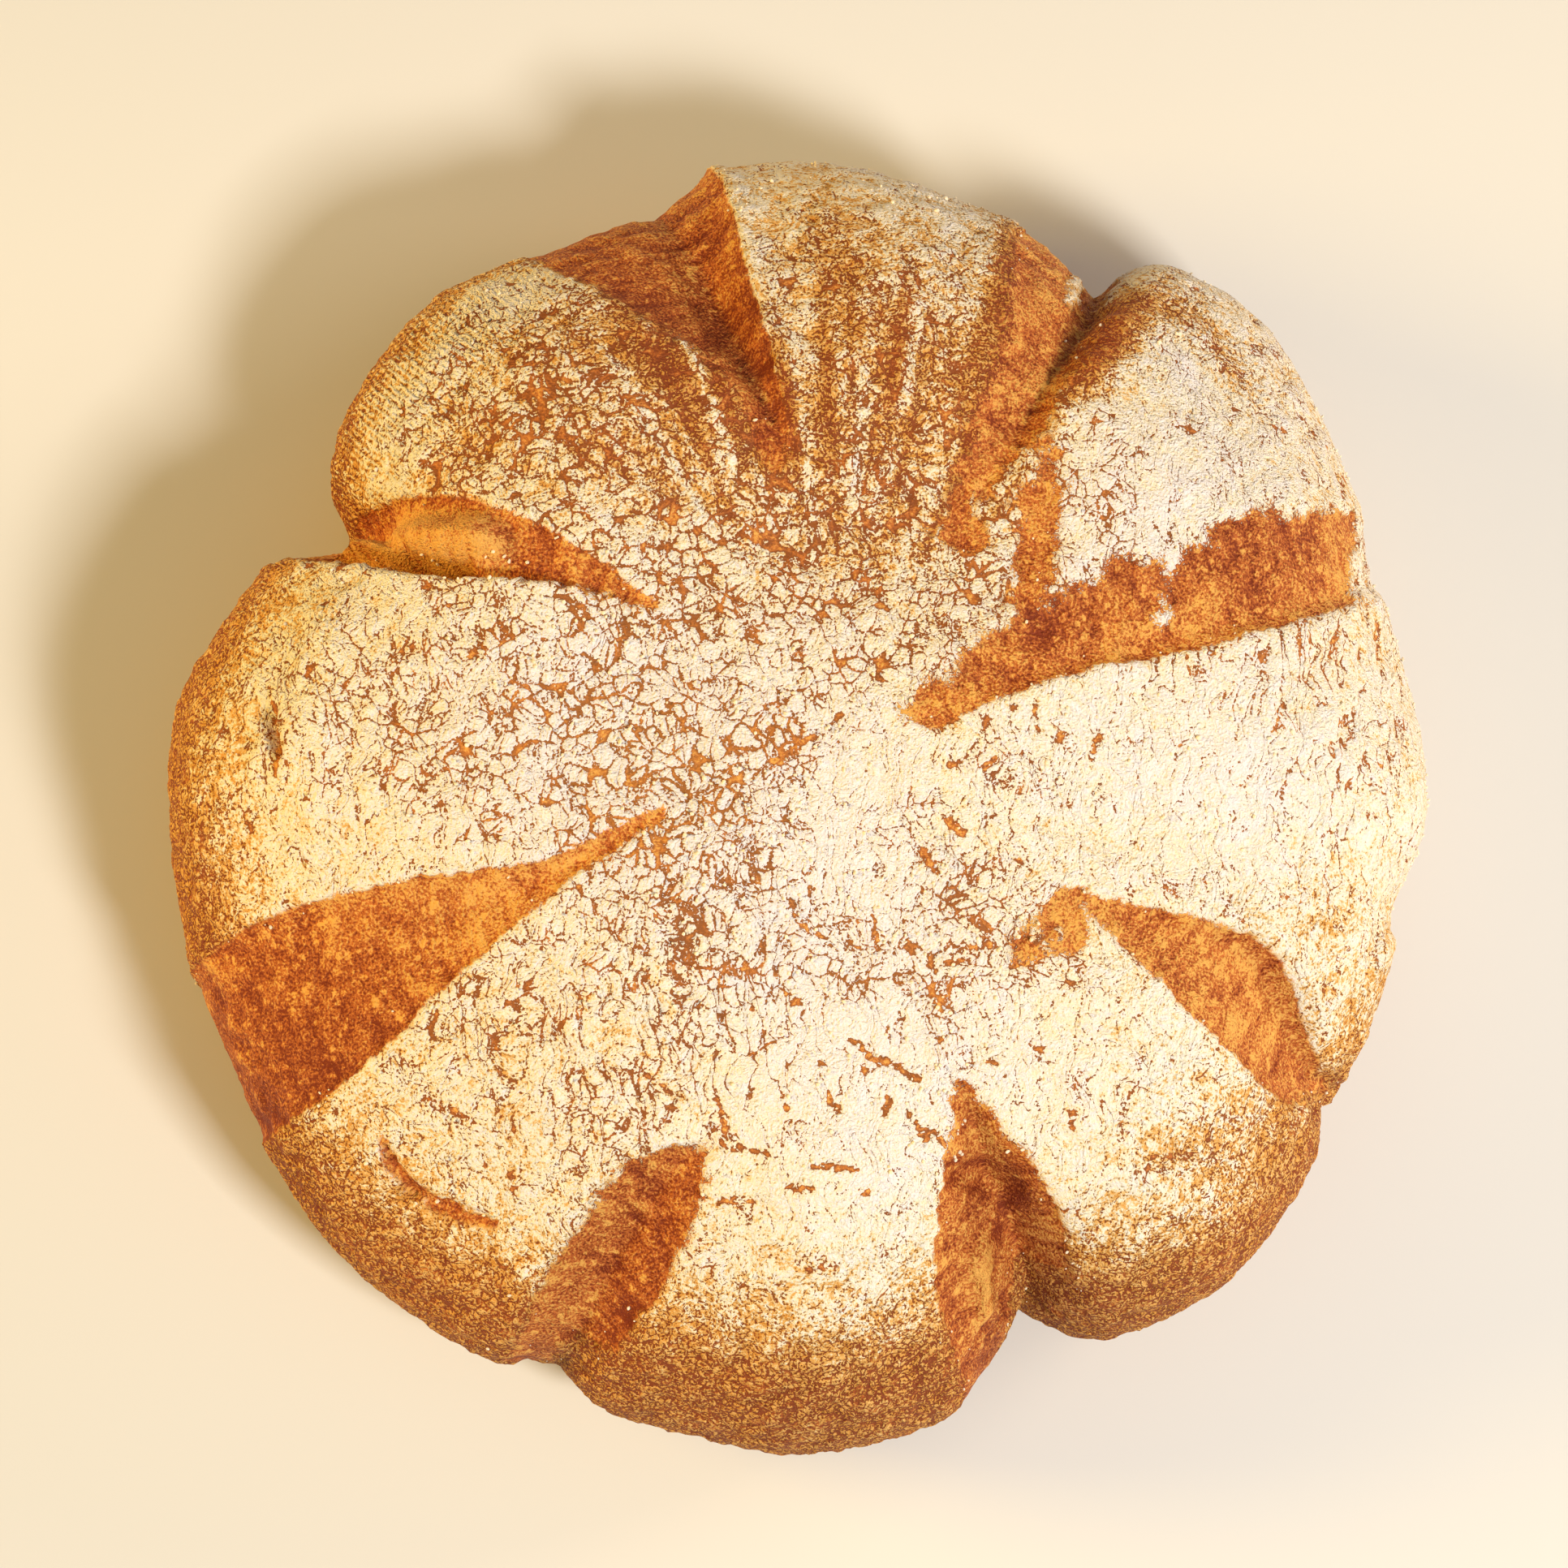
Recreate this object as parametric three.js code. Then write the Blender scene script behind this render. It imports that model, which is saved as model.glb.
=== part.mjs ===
// A round country loaf, about 260 mm across and 90 mm high, in millimetres.
// It is one solid of bread: a dome on a flat base, burst along radial splits into puffed lobes.
// The origin is on the table under the middle of the loaf, and +Z points up.
// Bearings are in degrees, anticlockwise from +X, and a reach is a plan distance from the middle.
import * as THREE from "three";
import { mergeVertices } from "three/addons/utils/BufferGeometryUtils.js";

// Driving dimensions, in millimetres.
const CROWN_HEIGHT = 88; // table to the top of the dome
const GIRTH_HEIGHT = 30; // table to the widest level of the loaf
const MEAN_REACH = 128; // mean plan radius at the girth
const FOOT_SHARE = 0.84; // plan radius of the flat base over that of the girth
const DOME_POWER = 2.4; // 2 is an ellipsoid, more is a flatter top with rounder shoulders
const RIM_FADE = [0.2, 1]; // shares of the reach between which the rim's outline takes over from a circle
const NOTCH_KEPT_AT_FOOT = 0.45; // share of a split's depth at the girth that is left at the table
const LIP_SPREAD = 5; // how far a raised lip reaches out from the border of its split
const LEAST_WALL = 0.7; // least distance from a split's crease to either border

// The mesh: rings from the crown down to the middle of the base, and spokes that follow every split's lines.
const LOBE_SPOKES = 12; // from one split's left border to the next split's right border
const WALL_SPOKES = 4; // from a split's right border to its crease, and on to its left border
const CROWN_RINGS = 22; // from the crown down to the girth
const WALL_RINGS = 6; // from the girth down to the edge of the base
const BASE_RINGS = 2; // from the edge of the base to its middle
const EDGE_GATHER = 0.5; // 0 spaces a lobe's spokes evenly, 1 gathers them most towards its two borders

// The girth's outline before the splits cut into it: [bearing, reach] at the lobes' crests and between them.
const RIM = [
  [5, 130], [20, 130], [35, 136], [48, 142], [61, 136], [74, 131], [91, 135], [106, 130], [116, 126],
  [127, 128], [139, 123], [147, 117], [153, 115], [161, 121], [172, 128], [185, 128], [198, 128], [212, 129],
  [225, 131], [237, 130], [249, 130], [259, 130], [270, 132], [279, 130], [287, 127], [298, 125], [310, 130],
  [322, 129], [334, 125], [344, 126], [350, 124], [357, 128],
];

// The radial splits. Each runs straight from its inner tip to its outer end, given as [bearing, reach].
// These lists hold values spaced evenly from the tip to the end:
//   left, right: distances of the torn borders anticlockwise and clockwise of the straight line;
//   crease: how far anticlockwise of the straight line the crease runs;
//   depth: how deep the crease lies.
// These pairs are for the left and the right side:
//   shoulders: how far past its border the crust has rolled over at the outer end;
//   rolls: the bend of the wall, 1 if flat and more if it bulges over the crease;
//   lips: the height of the raised border.
const SPLITS = [
  {
    name: "east_north", inner: [27, 20], outer: [24, 134],
    left: [4, 12, 11, 10.5, 8], right: [3.5, 3.5, 8, 9.5, 8], crease: [0, -2, -5, -7, -6],
    depth: [0, 1, 2, 2], shoulders: [8, 7], rolls: [1.2, 1.8], lips: [0.8, 1],
  },
  {
    name: "north_east", inner: [61, 54], outer: [63, 136],
    left: [5, 7, 7.5, 12.5, 14], right: [5, 6.7, 5, 7.5, 8], crease: [0, -1, -3.5, -6, -6],
    depth: [0, 3, 9, 13], shoulders: [9, 10], rolls: [1.7, 2.2], lips: [0.5, 0.6],
  },
  {
    name: "north", inner: [98, 64], outer: [106, 136],
    left: [1, 4.5, 16, 26, 28], right: [1, 5, 8.5, 13.5, 18], crease: [0, 0, -2, -3, 0],
    depth: [0, 4, 7, 5, 5], shoulders: [4, 0], rolls: [1.4, 1], lips: [0, 1.6],
  },
  {
    name: "north_west", inner: [140, 46], outer: [151, 130],
    left: [1, 4.7, 10.5, 13.5, 13], right: [1, 5, 6.5, 3, 6], crease: [0, 3.5, 9.5, 0, -4],
    depth: [0, 4, 11, 15], shoulders: [3, 12], rolls: [1.2, 2.2], lips: [1.2, 0.5],
  },
  {
    name: "west", inner: [199, 36], outer: [207, 136],
    left: [1, 5, 8.5, 14.5, 14], right: [1, 5, 14, 22, 22], crease: [0, 0, -2, -2, -2],
    depth: [0, 1.5, 1.2, 0.5], shoulders: [4, 4], rolls: [0.9, 0.9], lips: [0.4, 0.6],
  },
  {
    name: "south_west", inner: [252, 76], outer: [248, 134],
    left: [1, 5, 6.5, 5, 5], right: [1, 11.5, 13.5, 13.5, 12], crease: [0, -3, -4, -3, -2],
    depth: [0, 4, 6, 7], shoulders: [9, 8], rolls: [1.4, 1.3], lips: [0.5, 1],
  },
  {
    name: "south_east", inner: [292, 68], outer: [293, 134],
    left: [1, 6, 10, 8, 7], right: [1, 11, 18, 18, 16], crease: [0, -1, -1, -2, -2],
    depth: [0, 9, 15, 17], shoulders: [12, 8], rolls: [2, 1.6], lips: [0.8, 0.5],
  },
  {
    name: "east_south", inner: [332, 58], outer: [330, 132],
    left: [1.5, 9, 13.5, 6, 2], right: [2, 6, 8, 8, 3], crease: [0, 6, 10.5, 4, 0],
    depth: [0, 2.5, 4.5, 2], shoulders: [6, 6], rolls: [1.2, 1.2], lips: [1.2, 0.4],
  },
];

// Soft humps, or hollows where the height is negative: [bearing, reach, spread, height].
const HUMPS = [
  [5, 96, 34, 4], [42, 100, 30, 5], [80, 100, 30, 5], [126, 90, 34, 6], [178, 96, 34, 5],
  [228, 96, 30, 4], [269, 98, 26, 4], [312, 98, 30, 4], [345, 108, 16, 2], [100, 56, 30, -4],
  [352, 122, 9, -3],
];

// Gentle waves over the whole crust: [waves per metre along X, along Y, phase in radians, height].
const WAVES = [[11, 7, 0.4, 0.8], [-8, 13, 2.1, 0.8], [19, -6, 4.0, 0.5], [4, 21, 5.2, 0.5]];

const RADIANS = Math.PI / 180;
const SMALL_STEP = 1e-3; // share of the dome's profile over which its slope is taken
const SPLIT_SPOKES = LOBE_SPOKES + 2 * WALL_SPOKES;
const SPOKES = SPLIT_SPOKES * SPLITS.length;
const RINGS = CROWN_RINGS + WALL_RINGS + BASE_RINGS;
const mix = (a, b, t) => a + (b - a) * t;

/** A smooth ramp from 0 at low to 1 at high. */
function ramp(low, high, value) {
  const t = THREE.MathUtils.clamp((value - low) / (high - low), 0, 1);
  return t * t * (3 - 2 * t);
}

/** The plan point at a bearing in degrees and a reach. */
function planPoint([bearing, reach]) {
  return new THREE.Vector2(reach * Math.cos(bearing * RADIANS), reach * Math.sin(bearing * RADIANS));
}

/** The girth's plan radius at a bearing in degrees: a closed Catmull-Rom curve through RIM. */
function rimReach(bearing) {
  const turn = THREE.MathUtils.euclideanModulo(bearing - RIM[0][0], 360) + RIM[0][0];
  let i = RIM.length - 1;
  while (RIM[i][0] > turn) i -= 1;
  const at = (k) => {
    const laps = Math.floor(k / RIM.length);
    const [b, r] = RIM[k - laps * RIM.length];
    return [b + 360 * laps, r];
  };
  const [p0, p1, p2, p3] = [at(i - 1), at(i), at(i + 1), at(i + 2)];
  const gap = p2[0] - p1[0];
  const t = (turn - p1[0]) / gap;
  const slope1 = ((p2[1] - p0[1]) / (p2[0] - p0[0])) * gap;
  const slope2 = ((p3[1] - p1[1]) / (p3[0] - p1[0])) * gap;
  const s = t * t * (3 - 2 * t);
  return mix(p1[1], p2[1], s) + slope1 * t * (1 - t) * (1 - t) - slope2 * t * t * (1 - t);
}

/** A smooth course, a Catmull-Rom curve, through values spaced evenly from 0 to 1. */
function course(values, t) {
  const last = values.length - 1;
  const i = Math.min(Math.floor(t * last), last - 1);
  const s = t * last - i;
  const [v1, v2] = [values[i], values[i + 1]];
  const v0 = values[i - 1] ?? 2 * v1 - v2;
  const v3 = values[i + 2] ?? 2 * v2 - v1;
  const bend = (2 * v0 - 5 * v1 + 4 * v2 - v3) * s * s + (3 * v1 - v0 - 3 * v2 + v3) * s * s * s;
  return v1 + 0.5 * ((v2 - v0) * s + bend);
}

/** A split's lines at t: its borders' distances from its straight line, and its crease's offset from it. */
function linesAcross(split, t) {
  const left = course(split.left, t);
  const right = course(split.right, t);
  const crease = THREE.MathUtils.clamp(course(split.crease, t), LEAST_WALL - right, left - LEAST_WALL);
  return { left, right, crease };
}

/** A plan point about a split: t along it, from 0 to 1, its offset across, and how far it is short of it. */
function placeInSplit(split, point) {
  const inner = planPoint(split.inner);
  const along = planPoint(split.outer).sub(inner);
  const length = along.length();
  along.divideScalar(length);
  const from = point.clone().sub(inner);
  const ahead = from.dot(along);
  const t = THREE.MathUtils.clamp(ahead / length, 0, 1);
  return { t, offset: along.cross(from), shortBy: Math.max(-ahead, 0) };
}

/** How far one split lowers the crust at a plan point. It is negative on the split's raised lips. */
function splitDepth(split, point) {
  const { t, offset, shortBy } = placeInSplit(split, point);
  const { left, right, crease } = linesAcross(split, t);
  const wall = offset > crease ? 0 : 1;
  const valley = [left - crease, right + crease][wall] + split.shoulders[wall] * t;
  const away = Math.hypot(offset - crease, shortBy) / valley;
  const cut = course(split.depth, t) * Math.max(0, 1 - away) ** split.rolls[wall];
  const side = offset > 0 ? 0 : 1;
  const pastBorder = Math.hypot(offset, shortBy) - [left, right][side];
  const lip = split.lips[side] * ramp(0, 0.3, t) * Math.exp(-((pastBorder / LIP_SPREAD) ** 2));
  return cut - lip * ramp(-LIP_SPREAD, 0, pastBorder);
}

/** How far all splits together lower the crust at a plan point. */
function splitsDepth(point) {
  return SPLITS.reduce((sum, split) => sum + splitDepth(split, point), 0);
}

/** How far the humps and waves raise the crust at a plan point. */
function swellHeight(point) {
  let height = 0;
  for (const [bearing, reach, spread, rise] of HUMPS) {
    const gap = point.distanceTo(planPoint([bearing, reach])) / spread;
    height += rise * Math.exp(-gap * gap);
  }
  for (const [alongX, alongY, phase, rise] of WAVES) {
    height += rise * Math.sin((2 * Math.PI * (alongX * point.x + alongY * point.y)) / 1000 + phase);
  }
  return height;
}

/** The smooth dome's plan radius and height at a share of its profile: 0 is the crown and 1 the girth. */
function domeProfile(share, rim) {
  const sine = Math.sin((share * Math.PI) / 2);
  const reach = mix(MEAN_REACH, rim, ramp(...RIM_FADE, sine)) * sine;
  const rise = (CROWN_HEIGHT - GIRTH_HEIGHT) * Math.sqrt(Math.max(0, 1 - sine ** DOME_POWER));
  return new THREE.Vector2(reach, GIRTH_HEIGHT + rise);
}

/** The bearings at which a split's right border, crease and left border cross a circle in the plan. */
function splitBearings(split, radius) {
  const t = THREE.MathUtils.clamp((radius - split.inner[1]) / (split.outer[1] - split.inner[1]), 0, 1);
  const inner = planPoint(split.inner);
  const outer = planPoint(split.outer);
  const across = outer.clone().sub(inner).normalize().rotateAround(new THREE.Vector2(), Math.PI / 2);
  const centre = inner.lerp(outer, t);
  const { left, right, crease } = linesAcross(split, t);
  return [-right, crease, left].map((offset) => {
    const point = centre.clone().addScaledVector(across, offset);
    return THREE.MathUtils.euclideanModulo(point.angle() / RADIANS, 360);
  });
}

/** The bearing of a spoke at a plan radius. Spokes are counted from the first split's right border. */
function spokeBearing(spoke, radius) {
  const group = Math.floor(spoke / SPLIT_SPOKES) % SPLITS.length;
  const within = spoke % SPLIT_SPOKES;
  const [right, crease, left] = splitBearings(SPLITS[group], radius);
  if (within <= WALL_SPOKES) return mix(right, crease, within / WALL_SPOKES);
  if (within <= 2 * WALL_SPOKES) return mix(crease, left, within / WALL_SPOKES - 1);
  const [nextRight] = splitBearings(SPLITS[(group + 1) % SPLITS.length], radius);
  const share = (within - 2 * WALL_SPOKES) / LOBE_SPOKES;
  const lobe = THREE.MathUtils.euclideanModulo(nextRight - left, 360);
  return left + lobe * mix(share, ramp(0, 1, share), EDGE_GATHER);
}

/** The loaf's surface point on a spoke and a ring, both counted from 0. */
function crustPoint(spoke, ring) {
  const share = Math.min(ring / CROWN_RINGS, 1);
  const bearing = spokeBearing(spoke, domeProfile(share, MEAN_REACH).x);
  const out = planPoint([bearing, 1]);
  const rim = rimReach(bearing);
  if (ring <= CROWN_RINGS) {
    const at = domeProfile(share, rim);
    const before = domeProfile(Math.max(share - SMALL_STEP, 0), rim);
    const step = domeProfile(Math.min(share + SMALL_STEP, 1), rim).sub(before);
    const normal = new THREE.Vector2(-step.y, step.x).normalize();
    const plan = out.clone().multiplyScalar(at.x);
    at.addScaledVector(normal, swellHeight(plan) * ramp(1, 0.75, share) - splitsDepth(plan));
    return new THREE.Vector3(out.x * at.x, out.y * at.x, at.y);
  }
  const turn = Math.min((ring - CROWN_RINGS) / WALL_RINGS, 1) * (Math.PI / 2);
  const rise = 1 - Math.sin(turn);
  const notch = splitsDepth(out.clone().multiplyScalar(rim)) * mix(NOTCH_KEPT_AT_FOOT, 1, rise);
  const wall = rim * mix(FOOT_SHARE, 1, Math.cos(turn)) - notch;
  const reach = wall * Math.min((RINGS - ring) / BASE_RINGS, 1);
  return new THREE.Vector3(out.x * reach, out.y * reach, GIRTH_HEIGHT * rise);
}

/** The loaf as one closed geometry, standing on the table with the middle of its box over the origin. */
function loafGeometry() {
  const geometry = new THREE.SphereGeometry(1, SPOKES, RINGS);
  geometry.deleteAttribute("normal");
  geometry.deleteAttribute("uv");
  const places = geometry.getAttribute("position");
  for (let i = 0; i < places.count; i += 1) {
    const point = crustPoint(i % (SPOKES + 1), Math.floor(i / (SPOKES + 1)));
    places.setXYZ(i, point.x, point.y, point.z);
  }
  const closed = mergeVertices(geometry, 1e-4);
  closed.computeBoundingBox();
  const middle = closed.boundingBox.getCenter(new THREE.Vector3());
  closed.translate(-middle.x, -middle.y, 0);
  closed.computeVertexNormals();
  return closed;
}

const crust = new THREE.MeshStandardMaterial({ color: 0xd9a066, roughness: 0.85, metalness: 0 });
const loaf = new THREE.Mesh(loafGeometry(), crust);
loaf.name = "loaf";

const group = new THREE.Group();
group.add(loaf);

export default group;
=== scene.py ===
"""The looks of a round country loaf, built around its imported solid.

The loaf is one piece of bread on a pale table, in metres, with +Z up. Its crust is modelled at full detail:
the dome burst along radial splits into puffed lobes, the torn faces inside the splits, the crackled layer
of wheat flour, and the loose crumbs of flour on top. Sizes in the classes are in millimetres.
"""

import logging
import math
from dataclasses import dataclass, field
from enum import Enum
from functools import partial
from typing import Any

import bpy
import numpy as np
from bpy.types import Material, Mesh, Node, NodeSocket, NodeTree, Object
from mathutils import Matrix, Vector


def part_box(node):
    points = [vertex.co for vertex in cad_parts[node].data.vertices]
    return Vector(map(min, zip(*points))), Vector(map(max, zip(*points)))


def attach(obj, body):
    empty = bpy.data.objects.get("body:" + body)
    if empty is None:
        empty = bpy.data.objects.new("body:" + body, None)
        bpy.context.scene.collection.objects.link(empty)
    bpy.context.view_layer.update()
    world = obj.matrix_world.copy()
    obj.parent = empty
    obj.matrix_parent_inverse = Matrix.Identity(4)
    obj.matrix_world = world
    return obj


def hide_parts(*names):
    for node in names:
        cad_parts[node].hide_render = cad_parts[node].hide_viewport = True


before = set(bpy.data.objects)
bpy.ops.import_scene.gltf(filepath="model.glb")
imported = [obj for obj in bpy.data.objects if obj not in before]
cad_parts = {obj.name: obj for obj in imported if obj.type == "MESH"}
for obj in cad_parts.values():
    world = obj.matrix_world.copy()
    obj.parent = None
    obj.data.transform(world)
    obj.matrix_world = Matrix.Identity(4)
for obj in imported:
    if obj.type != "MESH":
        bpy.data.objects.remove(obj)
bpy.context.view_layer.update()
LOG = logging.getLogger("loaf")
MM = 0.001  # metres in a millimetre
Pair = tuple[float, float]
Rows = np.ndarray  # numbers with one row for each point


# ---------------------------------------------------------------- small helpers


def linear(code: str) -> tuple[float, float, float, float]:
    """Turn an sRGB hex colour into linear light.

    Args:
        code: The colour as six hex digits.

    Returns:
        Linear red, green and blue, and an alpha of 1.
    """
    shares = [int(code[i : i + 2], 16) / 255 for i in (0, 2, 4)]
    red, green, blue = [s / 12.92 if s <= 0.04045 else ((s + 0.055) / 1.055) ** 2.4 for s in shares]
    return (red, green, blue, 1.0)


def add_node(tree: NodeTree, kind: str, *feeds: Any, named: dict | None = None, **settings: Any) -> Node:
    """Add a node to a tree, with its settings and what feeds it.

    Args:
        tree: The node tree of a material or of a modifier.
        kind: The node's type, without ShaderNode before it, or in capitals the operation of a maths node.
        *feeds: What each input in use gets, in order: a node, a socket, a plain value, or None for nothing.
        named: What more inputs get, by name.
        **settings: The node's own settings.

    Returns:
        The new node.
    """
    if kind.isupper():
        kind, settings["operation"] = "Math", kind
    node = tree.nodes.new(kind if "Node" in kind else f"ShaderNode{kind}")
    for name, value in settings.items():
        setattr(node, name, value)
    fed = [*zip([socket for socket in node.inputs if socket.enabled], feeds)]
    fed += [(node.inputs[name], value) for name, value in (named or {}).items()]
    for socket, value in fed:
        if isinstance(value, Node):
            value = next(output for output in value.outputs if output.enabled)
        if isinstance(value, NodeSocket):
            tree.links.new(value, socket)
        elif value is not None:
            socket.default_value = value
    return node


def read_rows(rows: Any, key: str, width: int, kind: type = np.float32) -> Rows:
    """Read one kind of value from the points, corners or attributes of a mesh.

    Args:
        rows: The points, corners or attribute values.
        key: What to read from each.
        width: How many numbers each has.
        kind: The type of the numbers.

    Returns:
        The numbers, one row for each.
    """
    numbers = np.empty(len(rows) * width, kind)
    rows.foreach_get(key, numbers)
    return numbers.reshape(-1, width)


def ramp(low: float, high: float, value: Rows) -> Rows:
    """Rise smoothly from 0 where the value is low to 1 where it is high."""
    t = np.clip((value - low) / (high - low), 0.0, 1.0)
    return t * t * (3 - 2 * t)


def plan_point(place: Pair) -> Rows:
    """Turn a bearing in degrees, anticlockwise from +X, and a reach from the middle into plan X and Y."""
    bearing = math.radians(place[0])
    return place[1] * np.array([math.cos(bearing), math.sin(bearing)])


def course(values: tuple[float, ...], t: Rows) -> Rows:
    """Follow a Catmull-Rom curve through evenly spaced values.

    Args:
        values: The values, the first at 0 and the last at 1.
        t: Where to read the curve, from 0 to 1.

    Returns:
        The curve's value at each t.
    """
    ends = (2 * values[0] - values[1], 2 * values[-1] - values[-2])
    padded = np.array([ends[0], *values, ends[1]])
    last = len(values) - 1
    i = np.minimum((t * last).astype(int), last - 1)
    s = t * last - i
    v0, v1, v2, v3 = padded[i], padded[i + 1], padded[i + 2], padded[i + 3]
    bend = (2 * v0 - 5 * v1 + 4 * v2 - v3) * s**2 + (3 * v1 - v0 - 3 * v2 + v3) * s**3
    return v1 + 0.5 * ((v2 - v0) * s + bend)


# ---------------------------------------------------------------- the form of the loaf


@dataclass(frozen=True)
class Split:
    """A radial split in the crust. It runs straight from its inner tip to its outer end.

    The lists hold values spaced evenly from the tip to the end, and the pairs are for the left and the
    right side, seen from the tip. left is anticlockwise of the straight line and right is clockwise.
    """

    inner: Pair  # bearing and reach of the tip
    outer: Pair  # bearing and reach of the end
    left: tuple[float, ...]  # distance of the left torn border from the straight line
    right: tuple[float, ...]  # distance of the right torn border
    crease: tuple[float, ...]  # how far anticlockwise of the straight line the crease runs
    depth: tuple[float, ...]  # how deep the crease lies
    shoulders: Pair  # how far past its border the crust has rolled over at the outer end
    rolls: Pair  # the bend of the wall, 1 if flat and more if it bulges over the crease
    lips: Pair  # height of the raised border
    ragged: Pair  # how far the torn border frays into the flour

    LIP_SPREAD = 5.0  # width of the raised border
    LIP_START = 0.3  # share along the split where the border has its full height
    LEAST_WALL = 0.7  # the crease stays this far inside the torn borders

    def locate(self, plan: Rows) -> tuple[Rows, Rows, Rows, Rows]:
        """Find where plan points lie about the split.

        Args:
            plan: Plan points.

        Returns:
            The share along the split, the distance along it, the offset across it, and how far each
            point falls short of the tip.
        """
        inner = plan_point(self.inner)
        along = plan_point(self.outer) - inner
        length = float(np.hypot(*along))
        along = along / length
        start = plan - inner
        ahead = start @ along
        offset = along[0] * start[:, 1] - along[1] * start[:, 0]
        return np.clip(ahead / length, 0, 1), ahead, offset, np.maximum(-ahead, 0)

    def lines(self, t: Rows) -> tuple[Rows, Rows, Rows]:
        """Read where the left border, the right border and the crease lie at shares t along the split."""
        left, right = course(self.left, t), course(self.right, t)
        return left, right, np.clip(course(self.crease, t), self.LEAST_WALL - right, left - self.LEAST_WALL)

    def torn(self, plan: Rows) -> Rows:
        """Measure how far inside the torn border plan points lie, negative outside it."""
        t, _, offset, short_by = self.locate(plan)
        return np.where(offset > 0, *self.lines(t)[:2]) - np.hypot(offset, short_by)

    def cut(self, plan: Rows) -> Rows:
        """Work out how far the split lowers the crust, negative on its raised lips.

        Args:
            plan: Plan points.

        Returns:
            The depth at each point.
        """
        t, _, offset, short_by = self.locate(plan)
        left, right, crease = self.lines(t)
        on_left = offset > crease
        roll_left, roll_right = [shoulder * t for shoulder in self.shoulders]
        valley = np.where(on_left, left - crease + roll_left, right + crease + roll_right)
        away = np.hypot(offset - crease, short_by) / valley
        roll = np.where(on_left, *self.rolls)
        depth = course(self.depth, t) * np.maximum(0, 1 - away) ** roll
        past_border = -self.torn(plan)
        lip = np.where(offset > 0, *self.lips) * ramp(0, self.LIP_START, t)
        lip = lip * np.exp(-((past_border / self.LIP_SPREAD) ** 2))
        return depth - lip * ramp(-self.LIP_SPREAD, 0, past_border)


@dataclass(frozen=True)
class Swell:
    """A soft round hump on the crust, or a hollow where its height is negative."""

    place: Pair  # bearing and reach
    spread: float
    height: float

    def rise(self, plan: Rows) -> Rows:
        """Give the swell's height at each plan point."""
        gap = plan - plan_point(self.place)
        return self.height * np.exp(-(gap**2).sum(axis=1) / self.spread**2)


@dataclass(frozen=True)
class Wave:
    """A gentle wave over the whole crust."""

    per_metre: Pair  # waves to the metre along X and along Y
    phase: float
    height: float

    def rise(self, plan: Rows) -> Rows:
        """Give the wave's height at each plan point."""
        return self.height * np.sin(2 * math.pi * MM * (plan @ np.array(self.per_metre)) + self.phase)


@dataclass(frozen=True)
class Blot:
    """A soft oval on the plan of the crust that adds to a finish, such as more flour or wider cracks."""

    x: float
    y: float
    length: float
    width: float
    turn: float  # degrees anticlockwise from +X that its length points
    amount: float

    def share(self, plan: Rows) -> Rows:
        """Give the blot's amount at each plan point.

        Args:
            plan: Plan points.

        Returns:
            The amount at each point.
        """
        turn = math.radians(self.turn)
        gap = plan - np.array([self.x, self.y])
        along = gap @ np.array([math.cos(turn), math.sin(turn)]) / self.length
        across = gap @ np.array([-math.sin(turn), math.cos(turn)]) / self.width
        return self.amount * np.exp(-(along**2) - across**2)


@dataclass(frozen=True)
class Tear:
    """A small torn patch or bare strip outside the splits, with round ends."""

    start: Pair  # plan X and Y
    end: Pair
    half_width: float

    def torn(self, plan: Rows) -> Rows:
        """Measure how far inside the patch plan points lie, negative outside it.

        Args:
            plan: Plan points.

        Returns:
            The distance inside for each point.
        """
        start, end = np.array(self.start), np.array(self.end)
        along = end - start
        t = np.clip(((plan - start) @ along) / (along @ along), 0, 1)
        gap = plan - (start + t[:, None] * along)
        return self.half_width - np.hypot(gap[:, 0], gap[:, 1])


@dataclass(frozen=True)
class Fold(Tear):
    """A narrow crevice in the crust, or a soft roll where its depth is negative, with round ends."""

    depth: float

    def cut(self, plan: Rows) -> Rows:
        """Work out how far the fold lowers the crust at each plan point."""
        return self.depth * ramp(0, self.half_width, self.torn(plan))


def tears(*rows: tuple[float, ...]) -> tuple[Tear, ...]:
    """Make a tear from each row of its start's X and Y, its end's X and Y, and its half width."""
    return tuple(Tear(row[:2], row[2:4], row[4]) for row in rows)


def blots(*rows: tuple[float, ...]) -> tuple[Blot, ...]:
    """Make a blot from each row of its values."""
    return tuple(Blot(*row) for row in rows)


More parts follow.
